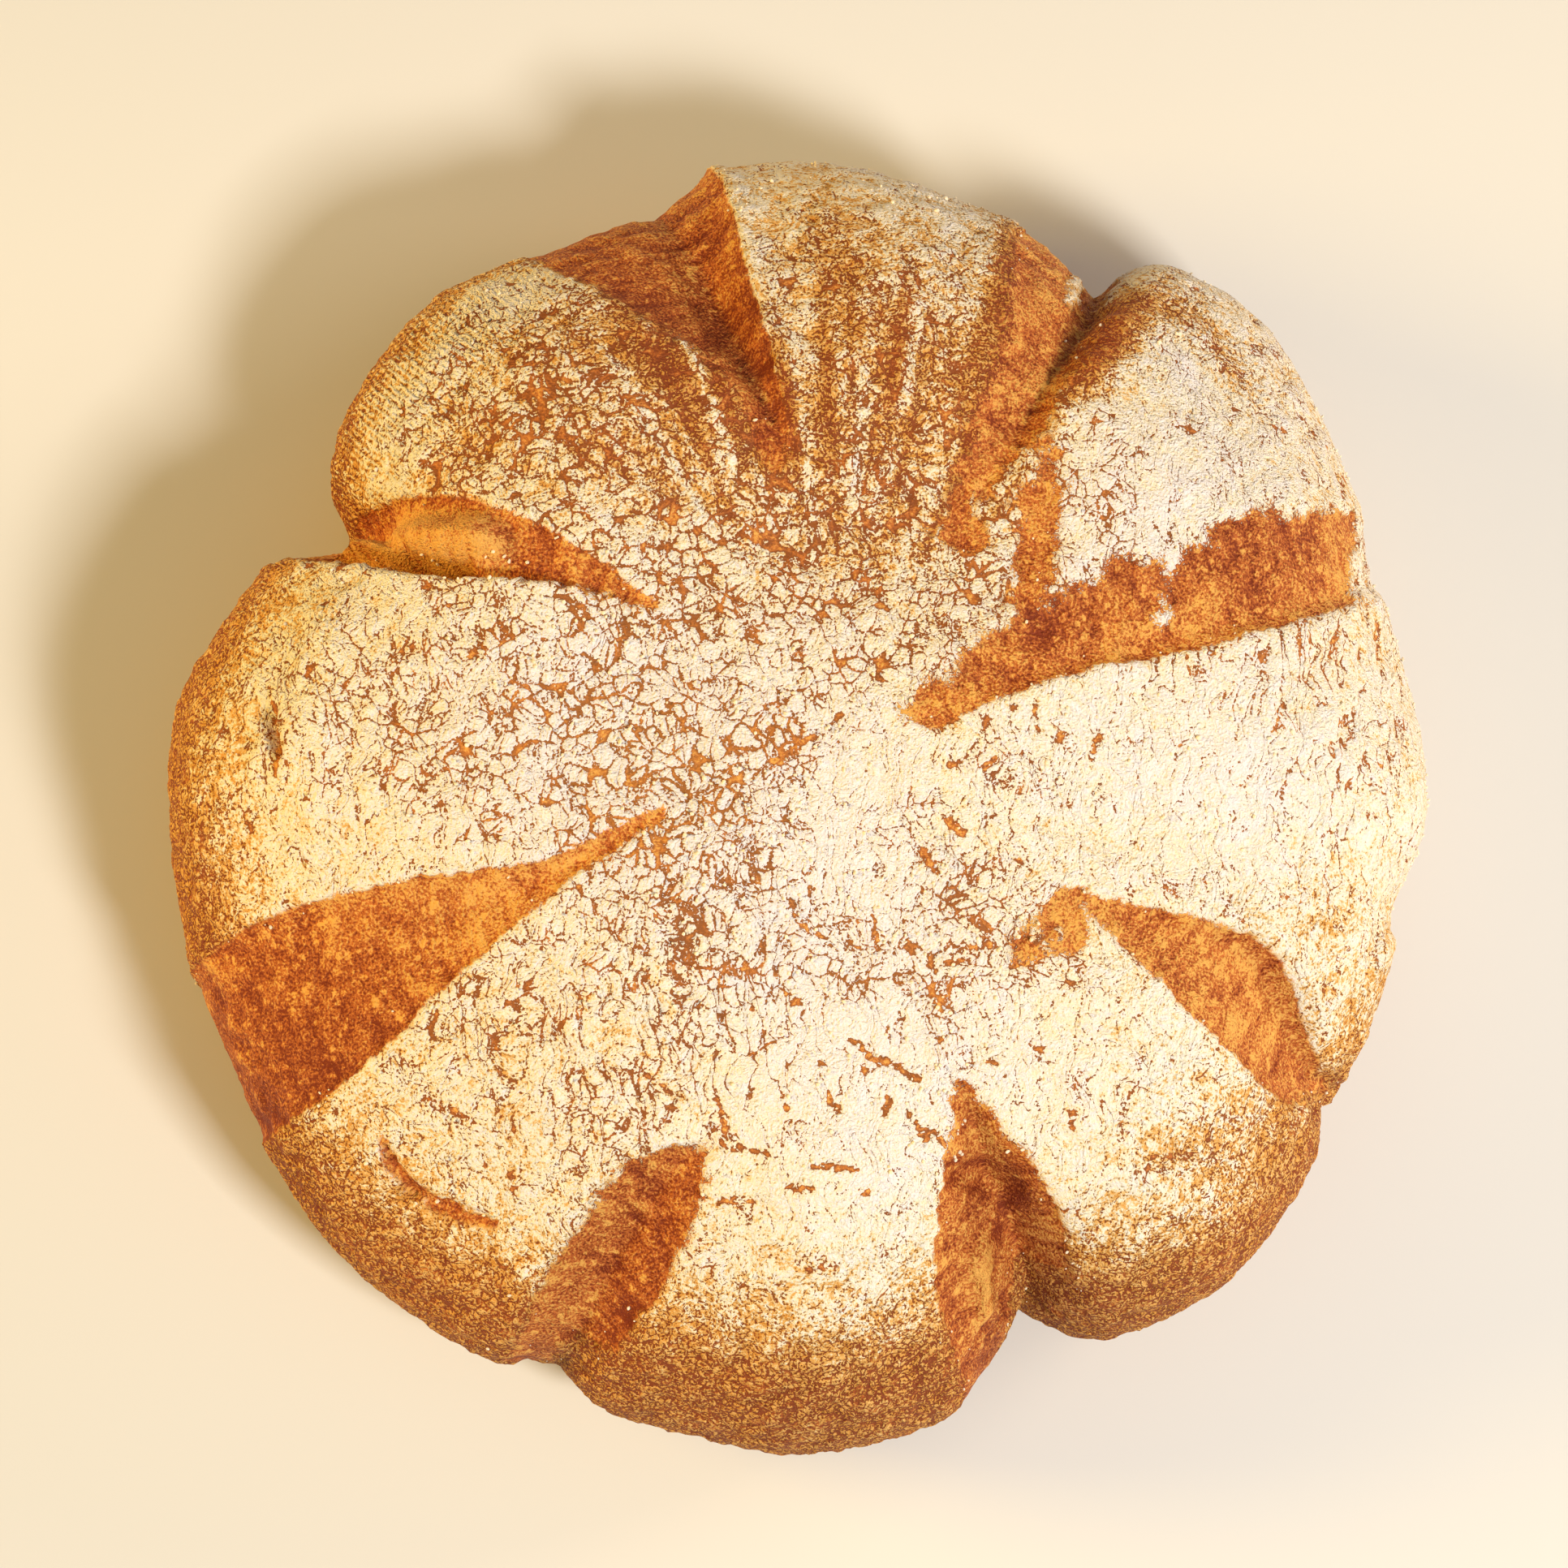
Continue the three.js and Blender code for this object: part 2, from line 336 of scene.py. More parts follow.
SPLITS = (
    Split(  # east by north
        (27, 20), (24, 134), (4, 12, 11, 10.5, 8), (3.5, 3.5, 8, 9.5, 8), (0, -2, -5, -7, -6),
        (0, 1, 2, 2), (8, 7), (1.2, 1.8), (0.8, 1), (1.6, 0.4),
    ),
    Split(  # north-east
        (61, 54), (63, 136), (5, 7, 8.5, 14.5, 16), (5, 6.7, 5, 7.5, 8),
        (0, -1, -3.5, -6, -6), (0, 3, 9, 13), (9, 10), (1.7, 2.2), (0.5, 0.6), (1.8, 1.6),
    ),
    Split(  # north
        (98, 64), (106, 136), (1, 4.5, 16, 26, 28), (1, 5, 8.5, 13.5, 18), (0, 0, -2, -3, 0),
        (0, 4, 7, 5, 5), (4, 0), (1.4, 1), (0, 1.6), (1.5, 0.5),
    ),
    Split(  # north-west
        (140, 46), (151, 130), (1, 4.7, 10.5, 13.5, 13), (1, 5, 6.5, 3, 6),
        (0, 3.5, 9.5, 0, -4), (0, 4, 11, 15), (3, 12), (1.2, 2.2), (1.2, 0.5), (0.8, 0.5),
    ),
    Split(  # west
        (199, 36), (207, 136), (1, 3.5, 8.5, 14.5, 14), (1, 3.5, 14, 22, 22), (0, 0, -2, -2, -2),
        (0, 1.5, 1.2, 0.5), (4, 4), (0.9, 0.9), (0.4, 0.6), (0.45, 0.4),
    ),
    Split(  # south-west
        (252, 76), (248, 134), (1, 5, 6.5, 5, 5), (1, 11.5, 13.5, 13.5, 12),
        (0, -3, -4, -3, -2), (0, 4, 6, 7), (9, 8), (1.4, 1.3), (0.5, 1), (1.0, 1.2),
    ),
    Split(  # south-east
        (292, 68), (293, 134), (1, 6, 10, 8, 7), (1, 11, 18, 18, 16), (0, 0, 2, 4, 4),
        (0, 9, 15, 17), (12, 8), (2, 1.6), (0.8, 0.5), (0.8, 0.8),
    ),
    Split(  # east by south
        (332, 58), (330, 132), (1.5, 9, 13.5, 6, 2), (2, 6, 8, 8, 3), (0, 6, 10.5, 4, 0),
        (0, 2.5, 4.5, 2), (6, 6), (1.2, 1.2), (1.2, 0.4), (0.5, 0.5),
    ),
)

SWELLS = (
    Swell((5, 96), 34, 4), Swell((42, 100), 30, 5), Swell((80, 100), 30, 5), Swell((126, 90), 34, 6),
    Swell((178, 96), 34, 5), Swell((228, 96), 30, 4), Swell((269, 98), 26, 4), Swell((312, 98), 30, 4),
    Swell((345, 108), 16, 2), Swell((100, 56), 30, -4), Swell((352, 122), 9, -3),
    Swell((176, 79), 15, -2.5),
)

WAVES = (
    Wave((11, 7), 0.4, 0.8), Wave((-8, 13), 2.1, 0.8), Wave((19, -6), 4.0, 0.5), Wave((4, 21), 5.2, 0.5),
)

# The girth's outline before the splits cut into it: bearings and reaches.
RIM = (
    (5, 130), (20, 130), (35, 136), (48, 142), (61, 136), (74, 131), (91, 135), (106, 130), (116, 126),
    (127, 128), (139, 123), (147, 117), (153, 115), (161, 121), (172, 128), (185, 128), (198, 128),
    (212, 129), (225, 131), (237, 130), (249, 130), (259, 130), (270, 132), (279, 130), (287, 127),
    (298, 125), (310, 130), (322, 129), (334, 125), (344, 126), (350, 124), (357, 128),
)

FOLDS = (
    Fold((-91, 46.5), (-69, 42.0), 8.4, -7.5),  # the roll of torn dough in the north-west split
    Fold((-98, 44.8), (-72, 36.8), 2.7, 10.0),  # the crevice under it
    Fold((-96, 28), (-101, 3), 9.0, -1.6),  # the soft ridge along the western shoulder
    Fold((-101, 3), (-99, -16), 9.0, -1.4),
    Fold((-107, 9), (-104.5, 1), 2.0, 3.0),  # cracks pressed open in the skin
    Fold((-84, -75), (-80, -84), 1.6, 1.0),
    Fold((-80, -84), (-66, -88), 1.8, 1.2),
    Fold((27, -81), (37, -84), 4.0, 2.5),  # the step across the south-east split
    Fold((106, -57), (113, -58), 2.6, 2.4),  # the notch between two bumps of the eastern rim
    Fold((114, -31), (118, -28), 4.0, -1.6),
    Fold((111, -50), (113, -47), 4.0, -1.6),
    Fold((34, -98), (36, -108), 4.5, -3.0),  # the ledge in the south-east split
    Fold((113, -22), (112, -36), 1.6, 1.2),
)

# Bare patches and strips outside the splits.
TEARS = tears(
    (41, 62, 41.5, 44, 4.4),  # the neck that joins two splits
    (41, 44, 39, 32, 4.2), (77, 46, 88, 50, 3.4), (58, 38, 60, 36, 4.4), (-15, 74, -11, 60, 2.2),
    (36.5, -37.5, 45, -28.5, 2.8),  # the arrowhead, and the strip from its point
    (46.5, -26, 47.5, -35.5, 2.2), (37, -38.5, 46, -36.5, 1.6), (47, -25, 59, -30, 1.1),
    (26, -67, 34, -77, 2.8), (30, -72, 36, -77, 2.4),  # the strip above the south-east split
    (-36, -81, -28, -79.5, 2.6),  # the blunt inner end of the south-western split
    (-85, -72.5, -83.3, -78, 0.9),  # a bare streak on the south-western lobe
    (-83.3, -78, -79.5, -82.5, 1.3), (-79.5, -82.5, -71, -88, 1.3), (-71, -88, -64, -89.5, 1.0),
    (56, -29, 64, -33, 2.0),
    (-106, 8, -105, 2, 0.6),  # the crack pressed open in the western skin
)

# Small marks where the flour has crumbled off the skin.
MARKS = tears(
    (5, -79, -4, -78.5, 0.6), (-9, -82, -4, -83, 0.6), (-21, -85, -15, -85, 0.6), (5, -83, 7, -83, 0.5),
    (-12, -76.5, -21, -75, 0.4), (-23, -65, -20.5, -71, 0.5), (-20.5, -71, -21, -75, 0.7),
    (-29, -66.5, -36, -62, 0.3), (3.5, -55.5, 6.5, -57.5, 0.6), (7, -58.5, 13, -60, 0.8),
    (13.5, -61, 17, -62.5, 0.6), (15, -69, 18.5, -73.5, 0.6), (19, -71.5, 23, -75, 0.6),
    (-9, -46.5, -6, -49.5, 0.6), (-16, -49, -16, -49.5, 0.5), (-15.5, -58.5, -15, -59, 0.6),
    (-1, -65.5, 1, -68.5, 0.6), (-9, -28, -7.5, -31.5, 0.6), (-7, -32.5, -0.5, -36.7, 0.5),
    (3, -36.5, 5, -38, 0.6), (-5, -26, -4, -28.5, 0.6), (7.5, -31, 8.5, -38, 0.4), (18, -40, 20, -42, 0.5),
    (21.5, -40.5, 25, -39.5, 0.6), (27, -37, 31, -36, 0.6), (20, -47.5, 21.5, -49, 0.5),
    (30, -58, 32, -58.5, 0.5), (36, -19.5, 39, -22, 0.4), (39, -27, 42, -30, 0.4), (22, -12, 25, -15, 0.9),
    (17, -18.5, 19.5, -22, 0.8), (31, 0, 29, -2, 0.6), (-4, 4, -13, -2, 0.6), (-10, -67, -9, -69, 0.5),
    (11, -66, 10, -69, 0.6), (0, -96, -4, -97, 0.4), (47, -67, 47, -70, 0.6), (63, -75, 72, -74, 0.4),
    (-63, -68, -64, -71, 0.3), (-60, -69, -61, -73, 0.4), (-66, -75, -66, -79, 0.3),
    (-61, -80, -60, -84, 0.4), (-46, -70, -45, -73, 0.3), (-77, -65, -68, -70, 0.5),
    (103, 31, 101, 25, 0.4), (90, 15, 87, 8, 0.4),
    (116, 36, 116, 28, 0.4), (53, 6, 51, 1, 0.6), (39, 12, 40, 5, 0.4), (99, 7, 100, 4, 0.4),
    (70, 22, 71, 17, 0.3), (24, 8, 20, 6, 0.7), (24, -1, 22, -2, 0.6), (110, 67, 107, 61, 0.6),
    (-68.5, 20.5, -70, 19, 0.7), (-77, 33.5, -78, 32, 0.7), (-80, 22, -81, 21, 0.6),
    (-106, 11, -104.5, 4.5, 0.6), (-104.5, 4.5, -105, -3, 0.6),
)

# Islands of flour inside the torn parts.
ISLANDS = tears(
    (35, 56, 39, 61, 2.2), (31, 52, 36, 49, 2.4), (68, 44, 67, 40, 1.8), (57, 110, 53, 101, 1.2),
    (39, -34, 41, -36, 1.0), (27.8, 72.6, 28.4, 74, 1.2), (39.2, 57.3, 40, 58.5, 1.1),
    (35.8, 60, 36.5, 61, 1.0), (23.3, 75.7, 23.8, 77, 1.0), (34.3, 52.5, 35.3, 53, 1.2),
    (66, 40, 66.5, 30, 0.8),
    # Skin that closes the outer ends of the splits, and the blunt inner end of the south-western one.
    (122, 63, 121, 38, 4.6), (116, 63, 113, 42, 3.2), (96, -70, 112, -64, 5.5), (50, -106, 50, -118, 5.5),
    (-38, -121, -46, -121, 7.0), (-22, -69.5, -26, -72, 3.6),
)


@dataclass(frozen=True)
class LoafForm:
    """The form of the whole loaf: a dome on a flat base, raised by swells and cut by the splits."""

    crown_height: float = 88.0
    girth_height: float = 30.0
    mean_reach: float = 128.0
    foot_share: float = 0.84  # the base's reach, as a share of the girth's
    dome_power: float = 2.4  # 2 would give a round dome, and more gives a flatter one
    rim_fade: Pair = (0.2, 1.0)  # shares of the reach where the uneven outline starts and shows in full
    swell_fade: float = 0.75  # the profile station from which the swells die down to the girth
    notch_kept_at_foot: float = 0.45  # how much of a split's depth at the girth is left at the foot
    fine_share: float = 0.465  # share of the ball's surface that becomes the dome and the upper side
    fine_end: float = 1.5  # the profile station where that share ends

    CROWN, GIRTH, FOOT, BASE_MIDDLE = 0.0, 1.0, 2.0, 3.0  # profile stations; the foot is the base's edge
    SAMPLES = 1201  # how many stations the profile is measured at
    NUDGE = 1e-3  # the step in station that its slope is measured over

    def rim_reach(self, bearing: Rows) -> Rows:
        """Read the girth's plan radius from a closed Catmull-Rom curve through RIM.

        Args:
            bearing: Bearings in degrees.

        Returns:
            The plan radius at each bearing.
        """
        count = len(RIM)
        laps = np.arange(-2, count + 3)
        bearings = np.array([RIM[k % count][0] + 360 * (k // count) for k in laps], float)
        reaches = np.array([RIM[k % count][1] for k in laps], float)
        turn = (bearing - RIM[0][0]) % 360 + RIM[0][0]
        i = np.searchsorted(bearings, turn, side="right") - 1
        b0, b1, b2, b3 = [bearings[i + k] for k in (-1, 0, 1, 2)]
        r0, r1, r2, r3 = [reaches[i + k] for k in (-1, 0, 1, 2)]
        gap = b2 - b1
        t = (turn - b1) / gap
        slope1, slope2 = (r2 - r0) / (b2 - b0) * gap, (r3 - r1) / (b3 - b1) * gap
        s = t * t * (3 - 2 * t)
        return r1 + (r2 - r1) * s + slope1 * t * (1 - t) ** 2 - slope2 * t * t * (1 - t)

    def profile(self, share: Rows, rim: Rows) -> tuple[Rows, Rows]:
        """Give the smooth dome's plan radius and height at shares of its profile.

        Args:
            share: 0 at the crown and 1 at the girth.
            rim: The girth's plan radius at each point's bearing.

        Returns:
            The plan radii and the heights.
        """
        sine = np.sin(share * math.pi / 2)
        reach = (self.mean_reach + (rim - self.mean_reach) * ramp(*self.rim_fade, sine)) * sine
        rise = (self.crown_height - self.girth_height) * np.sqrt(np.maximum(0, 1 - sine**self.dome_power))
        return reach, self.girth_height + rise

    def stations(self, cap: Rows) -> Rows:
        """Spread a ball's surface over the loaf's, so that triangles keep their size.

        Args:
            cap: The share of the ball's surface above each point.

        Returns:
            The profile station of each point.
        """
        at = np.linspace(self.CROWN, self.BASE_MIDDLE, self.SAMPLES)
        reach, height = self.profile(np.clip(at, 0, 1), np.full_like(at, self.mean_reach))
        turn = np.clip(at - self.GIRTH, 0, 1) * math.pi / 2
        side = self.mean_reach * (self.foot_share + (1 - self.foot_share) * np.cos(turn))
        reach = np.where(at > self.GIRTH, side, reach) * np.clip(self.BASE_MIDDLE - at, 0, 1)
        height = np.where(at > self.GIRTH, self.girth_height * (1 - np.sin(turn)), height)
        steps = np.hypot(np.diff(reach), np.diff(height)) * (reach[1:] + reach[:-1])
        area = np.concatenate([[0], np.cumsum(steps)])
        fine = np.interp(self.fine_end, at, area)
        share = np.where(
            at <= self.fine_end,
            self.fine_share * area / fine,
            self.fine_share + (1 - self.fine_share) * (area - fine) / (area[-1] - fine),
        )
        return np.interp(cap, share, at)

    def swell(self, plan: Rows) -> Rows:
        """Add up the heights of the swells and the waves at each plan point."""
        return sum(part.rise(plan) for part in (*SWELLS, *WAVES))

    def shape(self, ball: Rows) -> tuple[Rows, Rows, Rows]:
        """Move the points of a unit ball to the loaf's surface.

        Args:
            ball: Points on the unit sphere, one a row.

        Returns:
            The points in millimetres, their plan points on the uncut dome, and their profile stations.
        """
        station = self.stations((1 - ball[:, 2]) / 2)
        bearing = np.degrees(np.arctan2(ball[:, 1], ball[:, 0]))
        out = np.stack([np.cos(np.radians(bearing)), np.sin(np.radians(bearing))], axis=1)
        rim = self.rim_reach(bearing)
        share = np.clip(station, 0, 1)
        reach, height = self.profile(share, rim)
        before = self.profile(np.maximum(share - self.NUDGE, 0), rim)
        after = self.profile(np.minimum(share + self.NUDGE, 1), rim)
        normal = np.stack([before[1] - after[1], after[0] - before[0]])
        normal /= np.hypot(*normal)
        plan = out * reach[:, None]
        lift = self.swell(plan) * ramp(self.GIRTH, self.swell_fade, share)
        lift = lift - sum(part.cut(plan) for part in (*SPLITS, *FOLDS))
        rise = 1 - np.sin(np.clip(station - self.GIRTH, 0, 1) * math.pi / 2)
        wall = rim * (self.foot_share + (1 - self.foot_share) * np.sqrt(1 - (1 - rise) ** 2))
        notch = sum(split.cut(out * rim[:, None]) for split in SPLITS)
        wall = wall - notch * (self.notch_kept_at_foot + (1 - self.notch_kept_at_foot) * rise)
        below = station > self.GIRTH
        wall = wall * np.clip(self.BASE_MIDDLE - station, 0, 1)
        radius = np.where(below, wall, reach + normal[0] * lift)
        top = np.where(below, self.girth_height * rise, height + normal[1] * lift)
        return np.column_stack([out * radius[:, None], top]), plan, station


# ---------------------------------------------------------------- how the crust is finished


class Zone(Enum):
    """The values that vary over the crust, each kept on the mesh's points as an attribute of that name."""

    TORN = "torn"  # millimetres inside a torn border, negative on the floured skin
    RAGGED = "ragged"  # millimetres that the torn border frays
    WORN = "worn"  # millimetres inside a small mark, negative outside it
    FLOUR = "flour"  # 0 is bare and 1 is white with flour
    PLATES = "plates"  # how wide the cracks between the plates of flour are open
    LONG_CRACKS = "long_cracks"  # how wide the long cracks are open
    BROWNING = "browning"  # 0 is pale and 1 dark brown: the crust's browning, with painted shade and painted light in a few spots
    LINEN = "linen"  # how clearly the weave of the proving cloth shows in the flour
    PLACE = "place"  # where the point lay before the relief, in millimetres
    STRAND = "strand"  # where it lies along and across its split, in millimetres
    BENT = "bent"  # the place, bent so that the plates are uneven, in millimetres
    OPEN = "open"  # half the width of the cracks between the plates, in millimetres, negative where shut
    OPEN_LONG = "open_long"  # the same of the long cracks
    BLISTER = "blister"  # height of the soft blisters, from 0 to 1
    FRAYED = "frayed"  # torn, frayed by the border's raggedness

    @property
    def kind(self) -> str:
        """Say what kind of attribute it is: a vector where the value has three parts."""
        return "FLOAT_VECTOR" if self in (Zone.PLACE, Zone.STRAND, Zone.BENT) else "FLOAT"


@dataclass(frozen=True)
class Finish:
    """An even amount with soft blots added to it."""

    even: float
    blots: tuple[Blot, ...]

    def amounts(self, plan: Rows) -> Rows:
        """Add up the finish at each plan point."""
        return self.even + sum(blot.share(plan) for blot in self.blots)


FLOUR = Finish(0.68, blots(
    (2, -45, 44, 22, 90, 0.35),  # the whitest flour, from the crown towards -Y
    (0, -100, 34, 12, 0, -0.13), (36, -58, 22, 20, 0, 0.14), (76, 0, 44, 30, 0, 0.12),
    (76, -2, 22, 12, -10, 0.14), (38, 94, 26, 6, 80, -0.5), (60, 48, 30, 22, 40, 0.24),
    (-42, 4, 36, 30, 0, 0.34), (-30, -6, 26, 24, 0, 0.2),
    (0, 98, 80, 30, 0, -0.08),  # thin over the two northern lobes
    (55, 87, 13, 6, 62, -0.5), (68, 98, 10, 7, 0, -0.2), (73, 83, 7, 4, -60, 0.25),
    (82, 89, 12, 3.5, -55, -0.22),
    (-63, 95, 15, 6, 48, 0.3),  # the pressed, whiter band along the north-western lobe
    (-86, 69, 18, 6, 62, 0.25), (-54, 68, 15, 8, 40, 0.16), (82, -70, 22, 9, 10, -0.18),
    (98, -28, 14, 22, -10, -0.1),
    (8, 86, 34, 8, 103, -0.24),  # streaks of thin flour, running down from the crown
    (27, 72, 22, 8, 100, -0.26), (-8, 70, 14, 9, 110, -0.3), (-26, 76, 20, 8, -45, -0.2),
    (-57, 82, 22, 5, -10, -0.12), (-54, 64, 16, 7, -35, -0.15), (-72, 61, 9, 10, 0, -0.2),
    (-40, 90, 26, 9, -45, -0.12), (8, 42, 18, 8, 20, -0.12), (-34, 62, 24, 16, -30, -0.16),
    (6, 52, 26, 12, 0, -0.06),
))

# Streaks of flour running down from the crown over the northern lobes: for each set of them, how many
# would go round the loaf, where they start, and the distance over which they drift sideways.
STREAKS = ((31, 2.1, -34.0), (46, 0.4, 50.0), (73, 4.0, 21.0), (109, 1.1, -17.0))
STREAKED = Blot(-8, 68, 62, 34, 0, 0.3)

PLATES = Finish(0.12, blots(
    (-36, -16, 18, 14, 35, 0.65),  # widest open about the tip of the western split
    (-14, 2, 18, 8, 35, 0.35), (-60, 12, 38, 22, 0, 0.32), (-33, 16, 18, 16, 0, 0.25),
    (-22, -42, 16, 22, 0, 0.3), (-42, 58, 34, 22, -40, 0.65), (8, 80, 28, 34, 0, 0.25),
    (6, 38, 34, 20, 0, 0.42), (-62, 70, 26, 16, -40, 0.3), (10, 122, 50, 12, -10, -0.25),
    (36, -34, 16, 9, -20, 0.45), (22, -54, 8, 20, 10, 0.4), (20, -25, 6, 18, 0, 0.45),
    (2, -41, 14, 5, -20, 0.35), (34, 52, 16, 18, 0, 0.45), (62, 70, 26, 16, 40, 0.15),
    (-55, -58, 24, 18, 0, 0.2), (88, -2, 36, 44, 0, -0.32),
    (6, -14, 14, 12, 0, -0.15),  # shut where the flour lies thickest
    (6, -68, 28, 18, 0, -0.4), (-63, 8, 18, 16, 0, 0.2),
))

LONG_CRACKS = Finish(0.06, blots(
    (-24, -46, 16, 24, 10, 0.55), (-52, -56, 22, 18, -30, 0.45), (98, 8, 22, 36, 0, 0.3),
    (76, -2, 20, 13, -10, -0.3), (0, -84, 34, 20, 0, -0.16), (4, 58, 30, 24, 0, 0.3),
    (-88, 10, 22, 26, 0, 0.3), (24, -14, 10, 16, 0, 0.35), (56, 30, 30, 12, 10, 0.3),
))

# How brown the crust is. A few blots are painted shade and painted light instead, as marked below.
BROWNING = Finish(0.42, blots(
    (-10, 76, 75, 36, 0, 0.18),  # the northern skin browned most
    (-22, 98, 26, 22, 0, 0.14),  # the two northern splits are the darkest: browner crust, with painted shade deepening their hollows
    (46, 84, 20, 36, 0, -0.06), (-95, -62, 20, 24, 0, 0.4), (-85, 60, 20, 14, 0, 0.1),
    (-80, 38.2, 13, 1.4, -13, 0.3),  # painted shade darkens the crevice, and painted light pales the roll over it, most along its lower edge
    (-78, 42.0, 14, 3.0, -11, -0.9), (-78, 50, 16, 3.5, -10, -0.2), (-57, 39, 10, 7, -30, 0.2),
    (-82, 47.5, 14, 5, -12, -0.6), (-94, 47, 8, 6, 0, -0.5), (48, -88, 14, 20, 0, 0.22),
    (-62, -18, 40, 18, 10, -0.18), (100, -40, 26, 16, -20, -0.08), (-36, -97, 22, 10, 66, 0.4),
    # The first blot of the next row darkens the south rim: partly browner crust, partly painted shade.
    # The last blot of the next row is painted shade along the top of the north-western roll.
    (0, -122, 90, 14, 0, 0.12), (-12, 78, 16, 5, 100, 0.25), (-78, 52, 14, 2.5, -8, 0.15),
    (43, 26, 4, 4, 0, 0.5), (80, 43, 30, 10, 15, 0.42), (108, 48, 8, 10, 0, -0.3),
    (40, -31, 9, 8, 0, -0.2),
    (31, -84, 7, 6, 0, 0.25),  # the south-east split: painted shade in its pocket and along its crevice, its pale torn ledge, and a paler right wall
    (36, -104, 5, 8, 10, -0.9), (39, -98, 14, 1.6, 85, 0.8), (47, -92, 16, 5, 80, -0.3),
    # Then a tan patch on the south-western lobe, and a painted shadow under the raised upper border of the
    # east-by-south split.
    (-50, -107, 7, 8, 0, -0.4), (92, -38, 16, 2.5, -40, 0.3),
    (90, 2, 34, 36, 0, -0.3),  # golden cracks in the eastern flour
))

LINEN = Finish(0.0, blots(
    (-82, 78, 34, 13, 42, 1.0), (-104, 20, 14, 26, 0, 0.25), (86, 92, 24, 14, -50, 0.5),
    (70, -66, 16, 12, 0, 0.35),
))

# How wide the unfloured band round the rim is, at bearings spaced evenly from +X round to +X again.
BARE_BAND = (-8, -8, -5, -3, 10, 13, 15, 16, 21, 26, 24, 13, -8)


Sockets = dict[Zone, NodeSocket]
Parts = dict[str, Node | NodeSocket]
Tones = tuple[tuple[float, str], ...]  # values and their colours: the lowest, the highest, and those between


@dataclass
class CrustPattern:
    """The fine pattern of the crust, in millimetres: the same nodes shape its relief and colour it."""

    plate: float = 3.0  # width of a plate of cracked flour
    clump: float = 1.7  # width of a clump that thin flour breaks into
    clump_crack: float = 0.21  # half the width of the cracks between clumps where there is least flour
    clump_bond: float = 0.43  # how much of it full flour closes
    plate_reach: float = 0.9  # how far a shut plate's rounded corners reach, as a share of its width
    corner_opening: float = 2.2  # how much further corners draw back than edges where cracks open
    bubble: Pair = (0.12, 0.36)  # the pale bubble in the middle of a plate, as shares of its width
    drift: Pair = (9.0, 7.5)  # distance over which the plates drift out of place, and how far
    opening: Pair = (0.26, 0.22)  # half width of a wide crack: how much of it comes and goes, and the rest
    spread: float = 12.0  # distance between the patches where cracks come and go
    spread_range: Pair = (0.35, 0.65)  # the noise that gives them not at all, and in full
    patch: float = 4.5  # distance between smaller patches
    patch_opening: Pair = (1.05, -0.07)  # how much more the cracks open inside one
    unrest: Pair = (0.4, 0.15)  # how much they do so even where cracks are shut, and long cracks are
    calm: Pair = (-1.6, 0.85)  # how much flour lies calm: how fast open cracks end it, and its start
    calming: float = 0.4  # how far calm flour shuts them
    long_gap: float = 3.2  # distance between the long cracks and wrinkles
    long_stretch: float = 0.28  # how closely they are drawn together along their length
    long_slope: float = 2.5  # how soon a long crack is left behind
    wrinkle: float = 0.12  # half the width of a wrinkle, as a share of their distance
    fray: float = 1.4  # width of the nicks in torn borders and cracks
    fray_reach: float = 2.0  # how deep they are in a torn border
    worn_reach: float = 2.6  # and in a small mark
    wobble: float = 0.9  # how far a crack wobbles
    border_swing: float = 1.3  # how far a ragged border wanders from plate to plate
    dusting: float = 3.5  # how far grains of flour lie past a ragged border
    crumble: Pair = (0.6, 0.5)  # how much grains roughen a crack: what its width adds, and the rest
    crack_edge: Pair = (-0.05, 0.08)  # where a crack is in full, and where it has ended
    painted_brink_shade: Pair = (-0.5, -0.05)  # where painted shade from the plates' edges starts in a crack, and where it is full
    fringe: float = 0.55  # width of a plate's rounded edge
    bare_edge: float = 0.25  # half the width of a torn border's edge
    grain: float = 0.55  # width of a clump of flour, coarser than the 0.1 mm of real flour to show
    blister: float = 6.0  # distance between the soft blisters of bare crust
    strand: float = 1.8  # distance between the crumb's torn strands
    strand_stretch: float = 0.25  # how closely they are drawn together along their length
    thread: float = 1.4  # distance between the cloth's threads, coarser than the real 0.9 mm to show
    thread_sway: float = 5.0  # how uneven they are
    flour_gain: Pair = (2.2, -0.45)  # how far flour covers: how fast its amount adds to that, and the start
    flour_most: float = 0.85  # but no further than this
    flour_cover: Pair = (-0.08, 0.2)  # the values that cover nothing and all

    MIDDLE = 0.5  # what a noise gives on average
    DETAIL = 2.0  # how many finer octaves most noises have
    # The direction, the relative distance and the evenness of the cloth's two sets of threads.
    WEAVE = (((0.5, 0.87, 0.35), 1.0, 0.1), ((0.87, -0.5, 0.1), 1.7, 0.65))
    # How strongly grains, nicks, cracks and the weave sway how far the flour covers.
    COVER_SWAYS = (2.5, 1.5, -1.6, 0.7)

    def broad(self, tree: NodeTree, zones: Sockets) -> Sockets:
        """Add the nodes of the pattern's broad values, which the mesh's points are close enough to keep.

        Args:
            tree: The node tree of the relief.
            zones: The socket that gives each zone's values.

        Returns:
            The sockets of the broad values.
        """
        add = partial(add_node, tree)
        place, plates, long_cracks = zones[Zone.PLACE], zones[Zone.PLATES], zones[Zone.LONG_CRACKS]
        drift_width, drift_reach = self.drift
        drift = add("TexNoise", place, 1 / drift_width, 1.0)
        drift = add("VectorMath", drift.outputs["Color"], (self.MIDDLE,) * 3, operation="SUBTRACT")
        drift = add("VectorMath", drift, drift_reach, operation="SCALE")
        bent = add("VectorMath", place, drift, operation="ADD")

